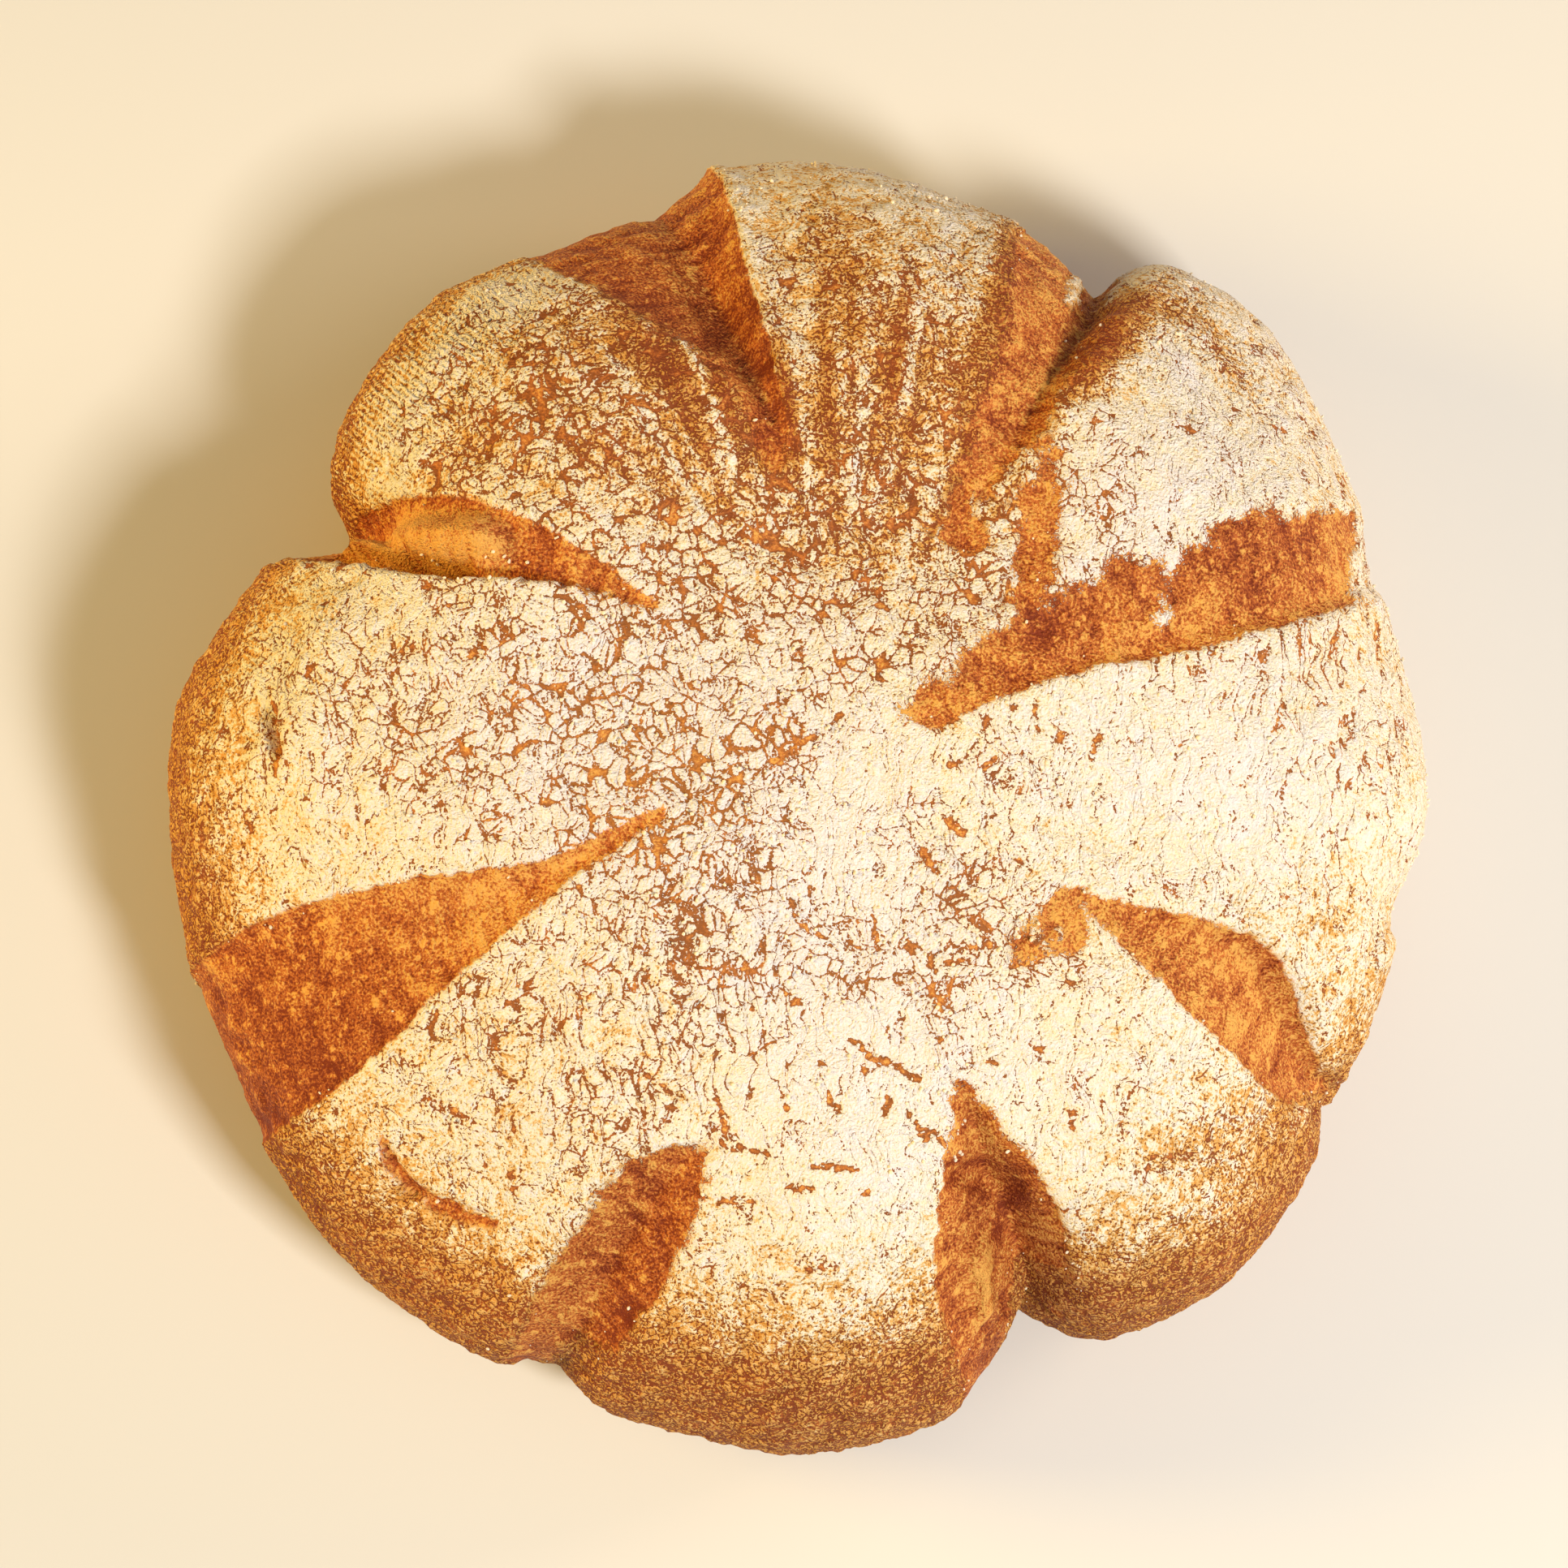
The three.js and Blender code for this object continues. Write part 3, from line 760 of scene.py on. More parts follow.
        # Cracks open by patches a few plates wide, and between them thick flour lies calm.
        spread = add("TexNoise", place, 1 / self.spread, 2.5)
        spread = add("MapRange", spread, *self.spread_range)
        patch = add("TexNoise", place, 1 / self.patch, self.DETAIL)
        vary = add("SUBTRACT", patch, self.MIDDLE)
        vary = add("MULTIPLY_ADD", vary, *self.patch_opening)
        unrest, unrest_long = self.unrest
        vary_long = add("ADD", long_cracks, unrest_long)
        vary_long = add("MULTIPLY", vary, vary_long)
        swing = add("ADD", plates, unrest)
        vary = add("MULTIPLY", vary, swing)
        calm = add("MULTIPLY_ADD", plates, *self.calm)
        calm = add("SUBTRACT", calm, spread)
        calm = add("MAXIMUM", calm, 0.0)
        vary = add("MULTIPLY_ADD", calm, -self.calming, vary)
        gain = add("MULTIPLY_ADD", spread, *self.opening)
        opening = add("MULTIPLY_ADD", gain, plates, vary)
        opening_long = add("MULTIPLY_ADD", gain, long_cracks, vary_long)

        cell = add("TexVoronoi", bent, 1 / self.plate, feature="F1")
        chance = add("SeparateXYZ", cell.outputs["Color"])
        sway = add("ADD", patch, chance)
        sway = add("SUBTRACT", sway, 2 * self.MIDDLE)
        sway = add("MULTIPLY", sway, self.border_swing)
        frayed = add("MULTIPLY_ADD", sway, zones[Zone.RAGGED], zones[Zone.TORN])
        blister = add("TexNoise", bent, 1 / self.blister, self.DETAIL)
        broad = (Zone.BENT, Zone.OPEN, Zone.OPEN_LONG, Zone.BLISTER, Zone.FRAYED)
        nodes = (bent, opening, opening_long, blister, frayed)
        return {zone: node.outputs[0] for zone, node in zip(broad, nodes)}

    def fine(self, tree: NodeTree, zones: Sockets) -> Parts:
        """Add the nodes of the pattern's fine values.

        Args:
            tree: The node tree of the relief or of the material.
            zones: The socket that gives each zone's values.

        Returns:
            What gives each fine value, and the height of the blisters, by name.
        """
        add = partial(add_node, tree)
        bent, place = zones[Zone.BENT], zones[Zone.PLACE]
        flour, opening = zones[Zone.FLOUR], zones[Zone.OPEN]
        fray = add("TexNoise", bent, 1 / self.fray, self.DETAIL)
        wobble = add("VectorMath", fray.outputs["Color"], (self.MIDDLE,) * 3, operation="SUBTRACT")
        wobble = add("VectorMath", wobble, self.wobble, operation="SCALE")
        wobbly = add("VectorMath", bent, wobble, operation="ADD")
        grain = add("TexNoise", place, 1 / self.grain, self.DETAIL, 0.6)

        # How far inside a plate this is, in millimetres, for each kind of crack.
        edge = add("TexVoronoi", wobbly, 1 / self.plate, feature="DISTANCE_TO_EDGE")
        edge = add("MULTIPLY", edge, self.plate)
        edge = add("SUBTRACT", edge, opening)
        corner = add("TexVoronoi", wobbly, 1 / self.plate, feature="F1")
        bubble = add("MapRange", corner, *self.bubble, 1.0, 0.0)
        corner = add("MULTIPLY_ADD", corner, -self.plate, self.plate * self.plate_reach)
        corner = add("MULTIPLY_ADD", opening, -self.corner_opening, corner)
        stretch = (1.0, self.long_stretch, self.long_stretch)
        squeezed = add("VectorMath", wobbly, stretch, operation="MULTIPLY")
        ridge = add("TexNoise", squeezed, 1 / self.long_gap, 1.5)
        ridge = add("SUBTRACT", ridge, self.MIDDLE)
        ridge = add("ABSOLUTE", ridge)
        wrinkle = add("MapRange", ridge, 0.0, self.wrinkle, 1.0, 0.0)
        wrinkle = add("MULTIPLY", wrinkle, zones[Zone.LONG_CRACKS])
        long = add("MULTIPLY", ridge, self.long_slope * self.long_gap)
        long = add("SUBTRACT", long, zones[Zone.OPEN_LONG])
        inside = add("MINIMUM", edge, corner)
        inside = add("MINIMUM", inside, long)
        clump = add("TexVoronoi", wobbly, 1 / self.clump, feature="DISTANCE_TO_EDGE")
        clump = add("MULTIPLY_ADD", clump, self.clump, -self.clump_crack)
        clump = add("MULTIPLY_ADD", flour, self.clump_bond, clump)
        inside = add("MINIMUM", inside, clump)
        nick = add("SUBTRACT", fray, self.MIDDLE)
        off_mark = add("MULTIPLY", nick, self.worn_reach)
        off_mark = add("SUBTRACT", off_mark, zones[Zone.WORN])
        inside = add("MINIMUM", inside, off_mark)
        fleck = add("SUBTRACT", grain, self.MIDDLE)
        crumble = add("MULTIPLY_ADD", zones[Zone.PLATES], *self.crumble)
        crumble = add("MULTIPLY", fleck, crumble)
        inside = add("ADD", crumble, inside)
        crack = add("MapRange", inside, *self.crack_edge, 1.0, 0.0)

        # Painted shade from the plates' edges darkens the crust at the sides of a wide crack, and all of a
        # narrow one.
        painted_brink_shade = add("MapRange", inside, *self.painted_brink_shade)
        fringe = add("MapRange", inside, 0.0, self.fringe, 1.0, 0.0)

        thread_sway = add("MULTIPLY", nick, self.thread_sway)
        torn = add("MULTIPLY_ADD", nick, self.fray_reach, zones[Zone.FRAYED])
        dusting = add("MULTIPLY", fleck, zones[Zone.RAGGED])
        torn = add("MULTIPLY_ADD", dusting, self.dusting, torn)
        bare = add("MapRange", torn, -self.bare_edge, self.bare_edge)
        linen = zones[Zone.LINEN]
        for across, gap, even in self.WEAVE:
            thread = add("VectorMath", place, across, operation="DOT_PRODUCT")
            thread = add("MULTIPLY_ADD", thread, 2 * math.pi / (gap * self.thread), thread_sway)
            thread = add("SINE", thread)
            thread = add("MULTIPLY_ADD", thread, 1 - even, even)
            linen = add("MULTIPLY", linen, thread)

        # Flour lies where there is enough of it, off the cracks, and breaks up into grains where thin.
        amount = add("MULTIPLY_ADD", flour, *self.flour_gain)
        amount = add("MINIMUM", amount, self.flour_most)
        for value, weight in zip((fleck, nick, crack, linen), self.COVER_SWAYS):
            amount = add("MULTIPLY_ADD", value, weight, amount)
        floured = add("MapRange", amount, *self.flour_cover)
        skin = add("SUBTRACT", 1.0, bare)
        floured = add("MULTIPLY", floured, skin)
        crack = add("MULTIPLY", crack, skin)
        painted_brink_shade = add("MULTIPLY", painted_brink_shade, crack)

        strand = add("VectorMath", zones[Zone.STRAND], wobble, operation="ADD")
        strand = add("VectorMath", strand, (1.0, self.strand_stretch, 1.0), operation="MULTIPLY")
        strand = add("TexNoise", strand, 1 / self.strand, self.DETAIL)
        parts = {"floured": floured, "bare": bare, "crack": crack, "painted_brink_shade": painted_brink_shade, "wrinkle": wrinkle}
        parts |= {"fringe": fringe, "grain": grain, "fray": fray, "bubble": bubble, "linen": linen}
        return {**parts, "strand": strand, "blister": zones[Zone.BLISTER]}


# ---------------------------------------------------------------- finishes


@dataclass(frozen=True)
class BakedCrust:
    """Baked wheat crust under flour: a matt, mottled orange-brown skin with a little sheen where bare."""

    name: str = "baked_wheat_crust"
    crust_tones: Tones = ((0.12, "7C2E0E"), (0.92, "E7A851"), (0.55, "C0672A"))  # dark, pale, orange-brown
    crust_dusted: str = "C4924A"
    dust_in_cracks: float = 0.3  # how much of that colour the bottom of a crack in thick flour takes
    # The thinnest and the thickest flour, and the golden and light flour between them.
    flour_tones: Tones = ((0.25, "D6903C"), (0.94, "EFE4DC"), (0.45, "E4B269"), (0.6, "F3E2BF"))
    bare_roughness: float = 0.62
    flour_roughness: float = 0.95
    ior: float = 1.45  # dry starch
    gloss: float = 0.25  # its pores swallow half of the sheen
    bump: float = 0.5 * MM  # how far the finest grains stand out
    paleness: Pair = (-0.75, 0.9)  # the crust's tone: how much browning changes it, and its start
    weave: float = 0.32  # how much the print of the cloth thickens the flour
    thin_fringe: float = -0.06  # and how much a plate's edge does

    # How strongly parts of the pattern sway or shift the crust's tone, the flour's thickness and the bump.
    TONE_SWAYS = (("grain", 2.2), ("blister", 1.1), ("strand", 0.9))
    # The brink's shift darkens the crust's tone as painted shade at the plates' edges.
    TONE_SHIFTS = (("painted_brink_shade", -0.5), ("bubble", 0.45))
    FLOUR_SWAYS = (("grain", 1.0), ("fray", 1.1), ("blister", 0.7))
    BUMPS = (("linen", 0.5), ("floured", 0.45), ("fringe", -0.5))
    # Flour is less mottled where it is thick and where it is thin: two amounts, and the mottling at each.
    CALM_THICK = (0.5, 1.0, 1.0, 0.5)
    CALM_THIN = (0.25, 0.5, 0.3, 1.0)

    def make(self, pattern: CrustPattern) -> Material:
        """Build the material.

        Args:
            pattern: The pattern that the relief was made with.

        Returns:
            The new material.
        """
        material = bpy.data.materials.new(self.name)
        material.use_nodes = True
        tree = material.node_tree
        tree.nodes.clear()
        add = partial(add_node, tree)
        readers = {zone: add("Attribute", attribute_name=zone.value) for zone in Zone}
        sockets = {"FLOAT_VECTOR": "Vector", "FLOAT": "Fac"}
        zones = {zone: reader.outputs[sockets[zone.kind]] for zone, reader in readers.items()}
        parts = pattern.fine(tree, zones)
        flour = zones[Zone.FLOUR]

        # The crust's tone, from dark through orange-brown to pale.
        tone = add("MULTIPLY_ADD", zones[Zone.BROWNING], *self.paleness)
        for part, weight in self.TONE_SWAYS:
            swing = add("SUBTRACT", parts[part], pattern.MIDDLE)
            tone = add("MULTIPLY_ADD", swing, weight, tone)
        for part, weight in self.TONE_SHIFTS:
            tone = add("MULTIPLY_ADD", parts[part], weight, tone)
        crust = add("ValToRGB", tone)
        dust = add("MULTIPLY", parts["crack"], flour)
        dust = add("MULTIPLY", dust, self.dust_in_cracks)
        dusted = add("Mix", dust, crust, linear(self.crust_dusted), data_type="RGBA")

        # The flour is tan where it is thin, and there the crust shows through it.
        mottle = add("MULTIPLY", parts["linen"], self.weave)
        mottle = add("MULTIPLY_ADD", parts["fringe"], self.thin_fringe, mottle)
        for part, weight in self.FLOUR_SWAYS:
            swing = add("SUBTRACT", parts[part], pattern.MIDDLE)
            mottle = add("MULTIPLY_ADD", swing, weight, mottle)
        loose = add("MapRange", flour, *self.CALM_THICK)
        scant = add("MapRange", flour, *self.CALM_THIN)
        loose = add("MULTIPLY", loose, scant)
        thickness = add("MULTIPLY_ADD", mottle, loose, flour)
        white = add("ValToRGB", thickness)
        for node, tones in ((crust, self.crust_tones), (white, self.flour_tones)):
            stops = node.color_ramp.elements
            for stop, (position, code) in zip(stops, tones):
                stop.position = position
                stop.color = linear(code)
            for position, code in tones[2:]:
                stops.new(position).color = linear(code)
        colour = add("Mix", parts["floured"], dusted, white, data_type="RGBA")
        rough = add("MapRange", parts["floured"], None, None, self.bare_roughness, self.flour_roughness)
        height = parts["grain"]
        for part, weight in self.BUMPS:
            height = add("MULTIPLY_ADD", parts[part], weight, height)
        bump = add("Bump", named={"Height": height, "Strength": 1.0, "Distance": self.bump})
        looks = {"Base Color": colour, "Roughness": rough, "Normal": bump}
        shader = add("BsdfPrincipled", named={**looks, "IOR": self.ior, "Specular IOR Level": self.gloss})
        add("OutputMaterial", shader)
        return material


@dataclass(frozen=True)
class WheatFlour:
    """Loose wheat flour in small clumps: soft, matt and cream-white."""

    name: str = "wheat_flour"
    colour: str = "F8EBD3"
    shaded: str = "E4CFA8"
    roughness: float = 1.0
    mottle: float = 1 / 900  # metres across a mottled patch, about the size of a crumb

    def make(self) -> Material:
        """Build the material.

        Returns:
            The new material.
        """
        material = bpy.data.materials.new(self.name)
        material.use_nodes = True
        tree = material.node_tree
        shader = tree.nodes["Principled BSDF"]
        add = partial(add_node, tree)
        place = add("TexCoord")
        mottle = add("TexNoise", place.outputs["Object"], 1 / self.mottle)
        colour = add("Mix", mottle, linear(self.shaded), linear(self.colour), data_type="RGBA")
        tree.links.new(colour.outputs[2], shader.inputs["Base Color"])
        shader.inputs["Roughness"].default_value = self.roughness
        return material


@dataclass(frozen=True)
class PaleTable:
    """Pale matt card: it gives a plain, light ground."""

    name: str = "pale_matt_card"
    colour: str = "D8D4CD"
    roughness: float = 0.9

    def make(self) -> Material:
        """Build the material.

        Returns:
            The new material.
        """
        material = bpy.data.materials.new(self.name)
        material.use_nodes = True
        shader = material.node_tree.nodes["Principled BSDF"]
        shader.inputs["Base Color"].default_value = linear(self.colour)
        shader.inputs["Roughness"].default_value = self.roughness
        return material


# ---------------------------------------------------------------- pieces


@dataclass
class CrustShell:
    """The loaf's whole skin: its form, the relief of its crust, and its finish."""

    name: str = "loaf_crust"
    form: LoafForm = field(default_factory=LoafForm)
    pattern: CrustPattern = field(default_factory=CrustPattern)
    finish: BakedCrust = field(default_factory=BakedCrust)
    ball_level: int = 7  # subdivisions of the starting ball
    skin_thickness: float = 0.5  # step from the floured skin down to a torn face
    plate_rise: float = 0.35
    blister_rise: float = 1.1
    wrinkle_depth: float = 1.1
    strand_rise: float = 0.7
    relief_start: Pair = (0.5, 4.0)  # heights over the table where the relief starts and is full
    tear_raggedness: float = 0.7  # how far a tear frays, as a share of its half width
    tear_fray: Pair = (0.5, 2.0)  # but no less and no more than this
    island_reach: float = 3.0  # an island's border frays, out to this far past it
    island_fray: float = 2.0
    side_healing: float = 10.0  # how much narrower the torn parts get, from the girth down to the foot
    side_bareness: float = 26.0  # and how much wider the bare band
    band_fade: Pair = (-16, 9)  # where flour starts and is full, from the bare band's upper border
    rim_flour: float = 0.29  # flour on the bare band
    mark_thinning: float = 0.15  # how much less flour there is in a small mark
    mark_fade: Pair = (-1.2, 0.4)  # the distances inside it where that starts and is full
    thin_flour: float = 0.66  # flour thinner than this has wider cracks
    thin_opening: float = 0.8  # how much wider they are
    thinnest: float = 0.5  # but they get no wider where it is thinner still by this much
    base_bareness: float = 0.8  # share of the flour that has rubbed off the base
    base_fade: Pair = (-0.1, 0.05)  # the stations from the foot where that starts and is full
    side_browning: float = 0.15
    rim_browning: float = 0.16

    # The highest values of flour and of cracks, and the distance from a small mark past which none counts.
    MOST_FLOUR, WIDEST, MARK_RANGE = 1.3, 1.2, 5.0

    def add_ball(self) -> Object:
        """Add the starting ball, with its upper part divided once more.

        Returns:
            The ball's object.
        """
        bpy.ops.object.select_all(action="DESELECT")
        bpy.ops.mesh.primitive_ico_sphere_add(subdivisions=self.ball_level, radius=1.0, location=(0, 0, 0))
        ball = bpy.context.object
        ball.name = self.name
        ball.data.name = self.name
        lowest = 1 - 2 * self.form.fine_share
        bpy.ops.object.mode_set(mode="EDIT")
        bpy.ops.mesh.select_mode(type="FACE")
        bpy.ops.mesh.select_all(action="DESELECT")
        bpy.ops.object.mode_set(mode="OBJECT")
        for face in ball.data.polygons:
            face.select = face.center.z > lowest
        bpy.ops.object.mode_set(mode="EDIT")
        bpy.ops.mesh.subdivide(number_cuts=1, smoothness=0.0)
        bpy.ops.mesh.select_all(action="SELECT")
        bpy.ops.mesh.quads_convert_to_tris()
        bpy.ops.object.mode_set(mode="OBJECT")
        return ball

    def zone_values(self, plan: Rows, station: Rows, rim: Rows) -> dict[Zone, Rows]:
        """Work out the finishes at each point.

        Args:
            plan: Plan points on the uncut dome, one a row.
            station: Their profile stations.
            rim: The girth's plan radius at each point's bearing.

        Returns:
            The values of each zone but the place.
        """
        torn_each = np.stack([part.torn(plan) for part in (*SPLITS, *TEARS)])
        island = np.stack([part.torn(plan) for part in ISLANDS]).max(axis=0)
        worn = np.stack([part.torn(plan) for part in MARKS]).max(axis=0)
        torn = np.minimum(torn_each.max(axis=0), -island)
        nearest = torn_each[: len(SPLITS)].argmax(axis=0)
        located = zip(*(split.locate(plan) for split in SPLITS))
        share, ahead, offset, _ = [np.stack(rows)[nearest, np.arange(len(plan))] for rows in located]
        fray = np.array([split.ragged for split in SPLITS])[nearest]
        ragged = np.where(offset > 0, fray[:, 0], fray[:, 1]) * (1 + (1 - share) ** 2)
        found = torn_each.argmax(axis=0) - len(SPLITS)
        widths = np.array([tear.half_width for tear in TEARS])[np.maximum(found, 0)]
        ragged = np.where(found < 0, ragged, np.clip(self.tear_raggedness * widths, *self.tear_fray))
        ragged = np.where(island > -self.island_reach, self.island_fray, ragged)

        reach = np.hypot(plan[:, 0], plan[:, 1])
        bearing = np.degrees(np.arctan2(plan[:, 1], plan[:, 0])) % 360
        band = course(BARE_BAND, bearing / 360)
        low = np.clip(station - self.form.GIRTH, 0, 1)
        rim_flour = ramp(*self.band_fade, rim - reach - band - self.side_bareness * low)
        flour = FLOUR.amounts(plan) - self.mark_thinning * ramp(*self.mark_fade, worn)
        turn = np.radians(bearing)
        streaks = sum(np.sin(count * turn + start + reach / drift) for count, start, drift in STREAKS)
        flour = flour + STREAKED.share(plan) * (streaks / len(STREAKS))
        scant = np.clip(self.thin_flour - flour, 0, self.thinnest)
        plates = PLATES.amounts(plan) + self.thin_opening * scant
        flour = flour * rim_flour + self.rim_flour * (1 - rim_flour)
        under = 1 - self.base_bareness * ramp(*self.base_fade, station - self.form.FOOT)
        browning = BROWNING.amounts(plan) + self.side_browning * low + self.rim_browning * (1 - rim_flour)
        return {
            Zone.TORN: torn - self.side_healing * low,
            Zone.RAGGED: ragged,
            Zone.WORN: np.maximum(worn, -self.MARK_RANGE),
            Zone.FLOUR: np.clip(flour, 0, self.MOST_FLOUR) * under,
            Zone.PLATES: np.clip(plates * rim_flour, 0, self.WIDEST) * (1 - low),
            Zone.LONG_CRACKS: np.clip(LONG_CRACKS.amounts(plan), 0, self.WIDEST) * (1 - low),
            Zone.LINEN: np.clip(LINEN.amounts(plan), 0, 1),
            Zone.BROWNING: np.clip(browning, 0, 1),
            Zone.STRAND: np.stack([ahead, offset, np.zeros(len(plan))], axis=1),
        }

    def keep_zones(self, mesh: Mesh, values: dict[Zone, Rows]) -> None:
        """Store zone values on the mesh's points.

        Args:
            mesh: The crust's mesh.
            values: The values of each zone.
        """
        for zone, numbers in values.items():
            layer = mesh.attributes.new(zone.value, zone.kind, "POINT")
            key = "vector" if numbers.ndim == 2 else "value"
            layer.data.foreach_set(key, numbers.astype(np.float32).ravel())

    def add_relief(self, crust: Object) -> None:
        """Raise the plates, blisters and torn strands from the crust, and apply them.

        Args:
            crust: The crust's object.
        """
        tree = bpy.data.node_groups.new("crust_relief", "GeometryNodeTree")
        for way in ("INPUT", "OUTPUT"):
            tree.interface.new_socket(name="Geometry", in_out=way, socket_type="NodeSocketGeometry")
        add = partial(add_node, tree)
        kept = add("NodeGroupInput")
        zones = {}
        for zone in Zone:
            reader = add("GeometryNodeInputNamedAttribute", zone.value, data_type=zone.kind)
            zones[zone] = reader.outputs["Attribute"]
        for zone, socket in self.pattern.broad(tree, zones).items():
            feeds = {"Geometry": kept, "Name": zone.value, "Value": socket}
            kept = add("GeometryNodeStoreNamedAttribute", named=feeds, data_type=zone.kind, domain="POINT")
        parts = self.pattern.fine(tree, zones)
        height = add("MULTIPLY", parts["floured"], self.plate_rise)
        for value, rise in ((parts["bare"], -self.skin_thickness), (parts["wrinkle"], -self.wrinkle_depth)):
            height = add("MULTIPLY_ADD", value, rise, height)
        swing = add("SUBTRACT", zones[Zone.BLISTER], self.pattern.MIDDLE)
        height = add("MULTIPLY_ADD", swing, 2 * self.blister_rise, height)
        swing = add("SUBTRACT", parts["strand"], self.pattern.MIDDLE)
        swing = add("MULTIPLY", swing, parts["bare"])
        height = add("MULTIPLY_ADD", swing, 2 * self.strand_rise, height)
        place = add("SeparateXYZ", zones[Zone.PLACE])
        above = add("MapRange", place.outputs["Z"], *self.relief_start)
        height = add("MULTIPLY", height, above)
        normal = add("GeometryNodeInputNormal")
        lift = add("MULTIPLY", height, MM)
        offset = add("VectorMath", normal, lift, operation="SCALE")
        moved = add("GeometryNodeSetPosition", kept, named={"Offset": offset})
        add("NodeGroupOutput", moved)
        modifier = crust.modifiers.new("relief", "NODES")
        modifier.node_group = tree
        bpy.ops.object.select_all(action="DESELECT")
        crust.select_set(True)
        bpy.context.view_layer.objects.active = crust
        bpy.ops.object.modifier_apply(modifier=modifier.name)

    def build(self) -> Object:
        """Make the crust.

        Returns:
            The finished object.
        """
        crust = self.add_ball()
        mesh = crust.data
        ball = read_rows(mesh.vertices, "co", 3).astype(float)
        ball /= np.linalg.norm(ball, axis=1)[:, None]
        points, plan, station = self.form.shape(ball)
        rim = self.form.rim_reach(np.degrees(np.arctan2(ball[:, 1], ball[:, 0])))
        low, high = [np.array(corner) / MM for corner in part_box("loaf")]
        points[:, :2] += (low + high)[:2] / 2 - (points.min(axis=0) + points.max(axis=0))[:2] / 2
        mesh.vertices.foreach_set("co", (points * MM).astype(np.float32).ravel())
        mesh.update()
        values = self.zone_values(plan, station, rim)
        values[Zone.PLACE] = points
        self.keep_zones(mesh, values)
        self.add_relief(crust)
        bpy.ops.object.shade_smooth()
        mesh = crust.data
        mesh.materials.clear()
        mesh.materials.append(self.finish.make(self.pattern))
        return crust


@dataclass(frozen=True)
class CrumbPatch(Tear):
    """A strip of the crust where bigger clumps of flour lie close together."""

    count: int
    radii: Pair  # the smallest and the largest clump


CRUMB_PATCHES = (
    CrumbPatch((-81, 39.4), (-79, 38.6), 1.4, 8, (0.3, 0.6)),  # in the north-west crevice
    CrumbPatch((-67, 39), (-62, 35), 2.4, 14, (0.25, 0.55)),
    CrumbPatch((49, -89), (51, -99), 1.6, 14, (0.25, 0.5)),
    CrumbPatch((25, -71), (25, -78), 1.2, 12, (0.25, 0.5)),
    CrumbPatch((34, -38), (47, -27), 3.0, 16, (0.3, 0.6)),
)


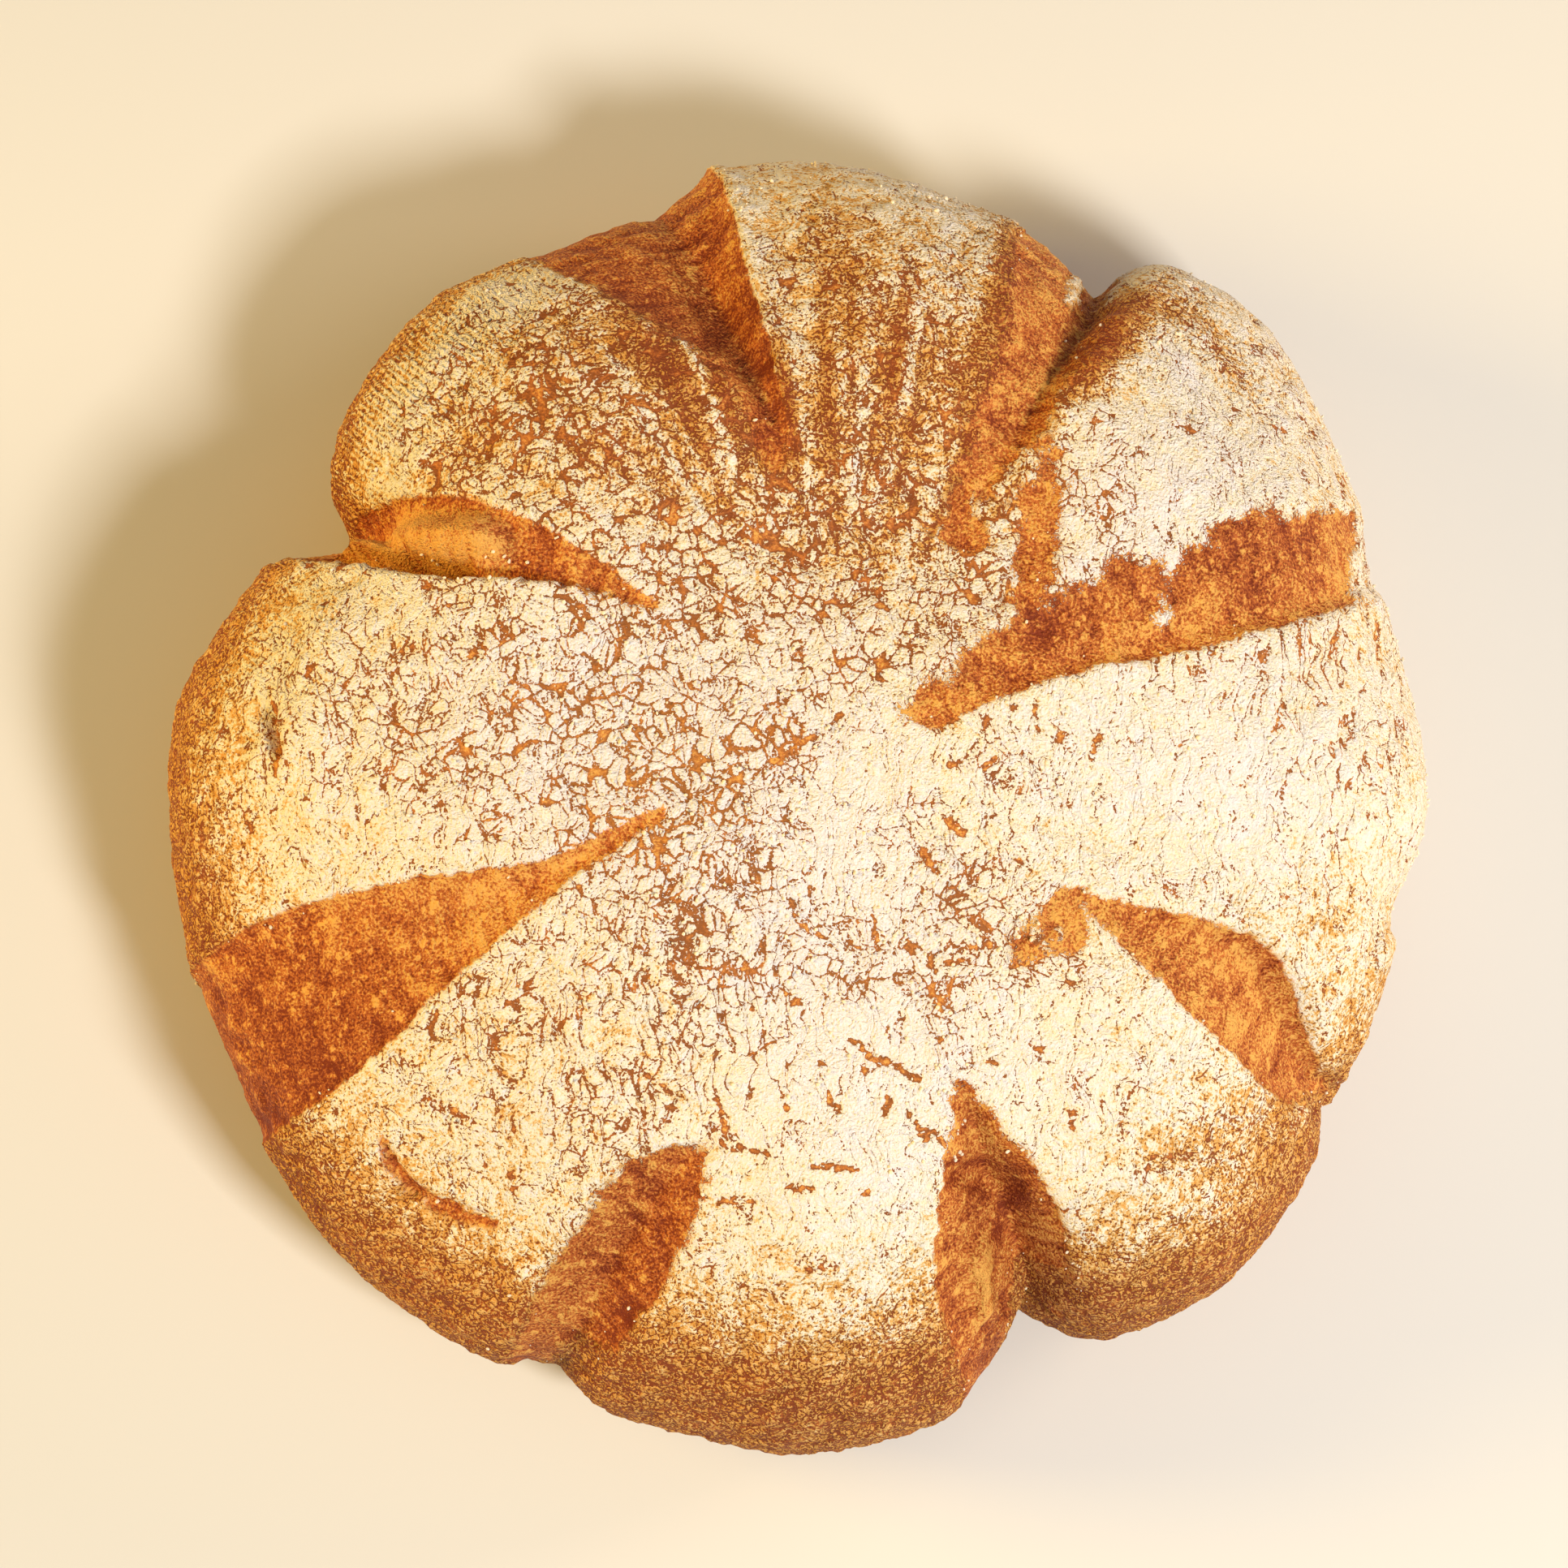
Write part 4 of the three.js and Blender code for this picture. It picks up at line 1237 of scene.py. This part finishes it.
@dataclass
class FlourCrumbs:
    """The loose crumbs and clumps of flour that lie on the crust, joined in one mesh."""

    name: str = "flour_crumbs"
    finish: WheatFlour = field(default_factory=WheatFlour)
    count: int = 3200
    radii: Pair = (0.16, 0.5)  # the smallest and the largest loose crumb
    small_bias: float = 2.5  # how much commoner small crumbs are
    sunk: float = 0.35  # share of its radius that a crumb is pressed into the crust
    flatness: Pair = (0.6, 1.2)  # the shortest and the longest axis, as shares of the radius
    dents: float = 0.18  # how uneven it is, as a share of the radius
    least_flour: float = 0.55  # crumbs lie where the flour is thicker than this
    flour_range: float = 0.4  # and closer together up to this much thicker
    border_reach: float = 3.0  # and some lie this close to the torn borders
    border_weight: float = 0.05
    seed: int = 20

    def add_lump(self) -> tuple[Rows, Rows]:
        """Read the points and faces of one twenty-sided lump.

        Returns:
            Its points, one a row, and the numbers of the points of each face.
        """
        bpy.ops.mesh.primitive_ico_sphere_add(subdivisions=1, radius=1.0, location=(0, 0, 0))
        lump = bpy.context.object
        points = np.array([point.co for point in lump.data.vertices])
        faces = np.array([face.vertices for face in lump.data.polygons])
        bpy.data.meshes.remove(lump.data)
        return points, faces

    def choose(self, crust: Mesh, draw: np.random.Generator) -> tuple[Rows, Rows]:
        """Choose the crust's triangles that crumbs lie on.

        Args:
            crust: The crust's mesh.
            draw: The source of chance.

        Returns:
            The three points of each triangle, and the radius of the crumb on it.
        """
        corners = read_rows(crust.loops, "vertex_index", 1, np.int32).reshape(-1, 3)
        flour, torn = [
            read_rows(crust.attributes[zone.value].data, "value", 1)[corners, 0].mean(axis=1).astype(float)
            for zone in (Zone.FLOUR, Zone.TORN)
        ]
        place = read_rows(crust.attributes[Zone.PLACE.value].data, "vector", 3)
        plan = place[corners, :2].mean(axis=1).astype(float)
        border = np.exp(-((torn / self.border_reach) ** 2))
        weight = np.clip(flour - self.least_flour, 0, self.flour_range) * (torn < 0)
        weight = weight + self.border_weight * border
        chosen = [draw.choice(len(weight), self.count, replace=False, p=weight / weight.sum())]
        smallest, largest = self.radii
        sizes = [smallest + (largest - smallest) * draw.random(self.count) ** self.small_bias]
        for patch in CRUMB_PATCHES:
            inside = np.flatnonzero(patch.torn(plan) > 0)
            count = min(patch.count, len(inside))
            chosen.append(draw.choice(inside, count, replace=False))
            sizes.append(draw.uniform(*patch.radii, count))
        return corners[np.concatenate(chosen)], np.concatenate(sizes)

    def build(self, crust: Object) -> Object:
        """Scatter the crumbs over the crust.

        Args:
            crust: The finished crust.

        Returns:
            The finished object.
        """
        draw = np.random.default_rng(self.seed)
        chosen, radii = self.choose(crust.data, draw)
        spots = read_rows(crust.data.vertices, "co", 3)
        out = read_rows(crust.data.vertex_normals, "vector", 3)
        shares = draw.dirichlet((1.0, 1.0, 1.0), len(chosen))[:, :, None]
        spots, out = [(rows[chosen] * shares).sum(axis=1) for rows in (spots, out)]
        centres = spots / MM + out * (radii * (1 - self.sunk))[:, None]
        lump, faces = self.add_lump()
        count = len(chosen)
        turned = np.linalg.qr(draw.standard_normal((count, 3, 3)))[0]
        turned[:, :, 0] *= np.sign(np.linalg.det(turned))[:, None]
        stretched = lump[None] * draw.uniform(*self.flatness, (count, 1, 3))
        stretched = stretched * draw.uniform(1 - self.dents, 1 + self.dents, (count, len(lump), 1))
        points = np.einsum("nij,nkj->nki", turned, stretched) * radii[:, None, None] + centres[:, None]
        numbers = faces[None] + (np.arange(count) * len(lump))[:, None, None]
        mesh = bpy.data.meshes.new(self.name)
        mesh.from_pydata((points.reshape(-1, 3) * MM).tolist(), [], numbers.reshape(-1, 3).tolist())
        mesh.materials.append(self.finish.make())
        crumbs = bpy.data.objects.new(self.name, mesh)
        bpy.context.scene.collection.objects.link(crumbs)
        return crumbs


# ---------------------------------------------------------------- studio


@dataclass(frozen=True)
class SoftLight:
    """A square studio lamp that points at the loaf."""

    name: str
    place: tuple[float, float, float]  # metres
    side: float
    power: float
    colour: str
    beam: float = 180.0  # degrees across: a narrow one lights the loaf and not the floor under the lamp

    AIM = Vector((0, 0, 0.04))

    def add(self) -> None:
        """Add the lamp to the scene."""
        lamp = bpy.data.lights.new(self.name, "AREA")
        lamp.shape = "SQUARE"
        lamp.size = self.side
        lamp.energy = self.power
        lamp.color = linear(self.colour)[:3]
        lamp.spread = math.radians(self.beam)
        holder = bpy.data.objects.new(self.name, lamp)
        bpy.context.scene.collection.objects.link(holder)
        place = Vector(self.place)
        holder.matrix_world = Matrix.LocRotScale(place, (place - self.AIM).to_track_quat("Z", "Y"), None)


@dataclass
class Studio:
    """The pale table, the lamps, the sky and the camera."""

    camera_distance: float = 1.1  # metres from the point it is aimed at
    azimuth: float = -35.0
    elevation: float = 78.0
    aim: tuple[float, float, float] = (0.0, 0.0, 0.03)
    lens: float = 123.0  # millimetres
    sensor: float = 36.0
    table_side: float = 6.0  # metres
    shift: Pair = (-0.01165, 0.00906)
    sky: str = "FFFFFF"
    sky_strength: float = 0.22
    lamps: tuple[SoftLight, ...] = (
        SoftLight("key", (0.62, -0.72, 1.25), 0.32, 22.7, "FFFCF7"),
        SoftLight("side_fill", (1.15, 0.45, 0.5), 0.5, 1.1, "FFE8CC", 60.0),
        SoftLight("warm_fill", (-1.1, 0.1, 0.5), 0.45, 1.75, "FFD86C", 60.0),
    )

    def add_table(self) -> Object:
        """Add the table that the loaf rests on.

        Returns:
            The table's object.
        """
        bpy.ops.object.select_all(action="DESELECT")
        bpy.ops.mesh.primitive_plane_add(size=self.table_side, location=(0, 0, 0))
        table = bpy.context.object
        table.name = "table"
        table.data.materials.append(PaleTable().make())
        return table

    def add_camera(self) -> None:
        """Add the camera and make it the scene's."""
        azimuth, elevation = math.radians(self.azimuth), math.radians(self.elevation)
        level = math.cos(elevation)
        back = Vector((math.sin(azimuth) * level, -math.cos(azimuth) * level, math.sin(elevation)))
        north = Vector((0, 1, 0))
        up = (north - north.dot(back) * back).normalized()
        camera = bpy.data.cameras.new("camera")
        camera.sensor_width = self.sensor
        camera.lens = self.lens
        camera.shift_x, camera.shift_y = self.shift
        holder = bpy.data.objects.new("camera", camera)
        turned = Matrix((up.cross(back), up, back)).transposed().to_4x4()
        turned.translation = Vector(self.aim) + back * self.camera_distance
        holder.matrix_world = turned
        bpy.context.scene.collection.objects.link(holder)
        bpy.context.scene.camera = holder

    def build(self) -> None:
        """Set up the whole studio."""
        self.add_table()
        self.add_camera()
        for lamp in self.lamps:
            lamp.add()
        world = bpy.data.worlds.new("studio")
        world.use_nodes = True
        background = world.node_tree.nodes["Background"]
        background.inputs["Color"].default_value = linear(self.sky)
        background.inputs["Strength"].default_value = self.sky_strength
        bpy.context.scene.world = world
        bpy.context.scene.view_settings.view_transform = "Standard"


def main() -> None:
    """Build the studio and every piece of the loaf, and attach them to the root body."""
    logging.basicConfig(level=logging.INFO, format="%(name)s: %(message)s")
    Studio().build()
    crust = CrustShell().build()
    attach(crust, "root")
    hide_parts("loaf")
    LOG.info("%s has %d triangles", crust.name, len(crust.data.polygons))
    crumbs = FlourCrumbs().build(crust)
    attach(crumbs, "root")
    LOG.info("%s has %d triangles", crumbs.name, len(crumbs.data.polygons))


if __name__ == "__main__":
    main()
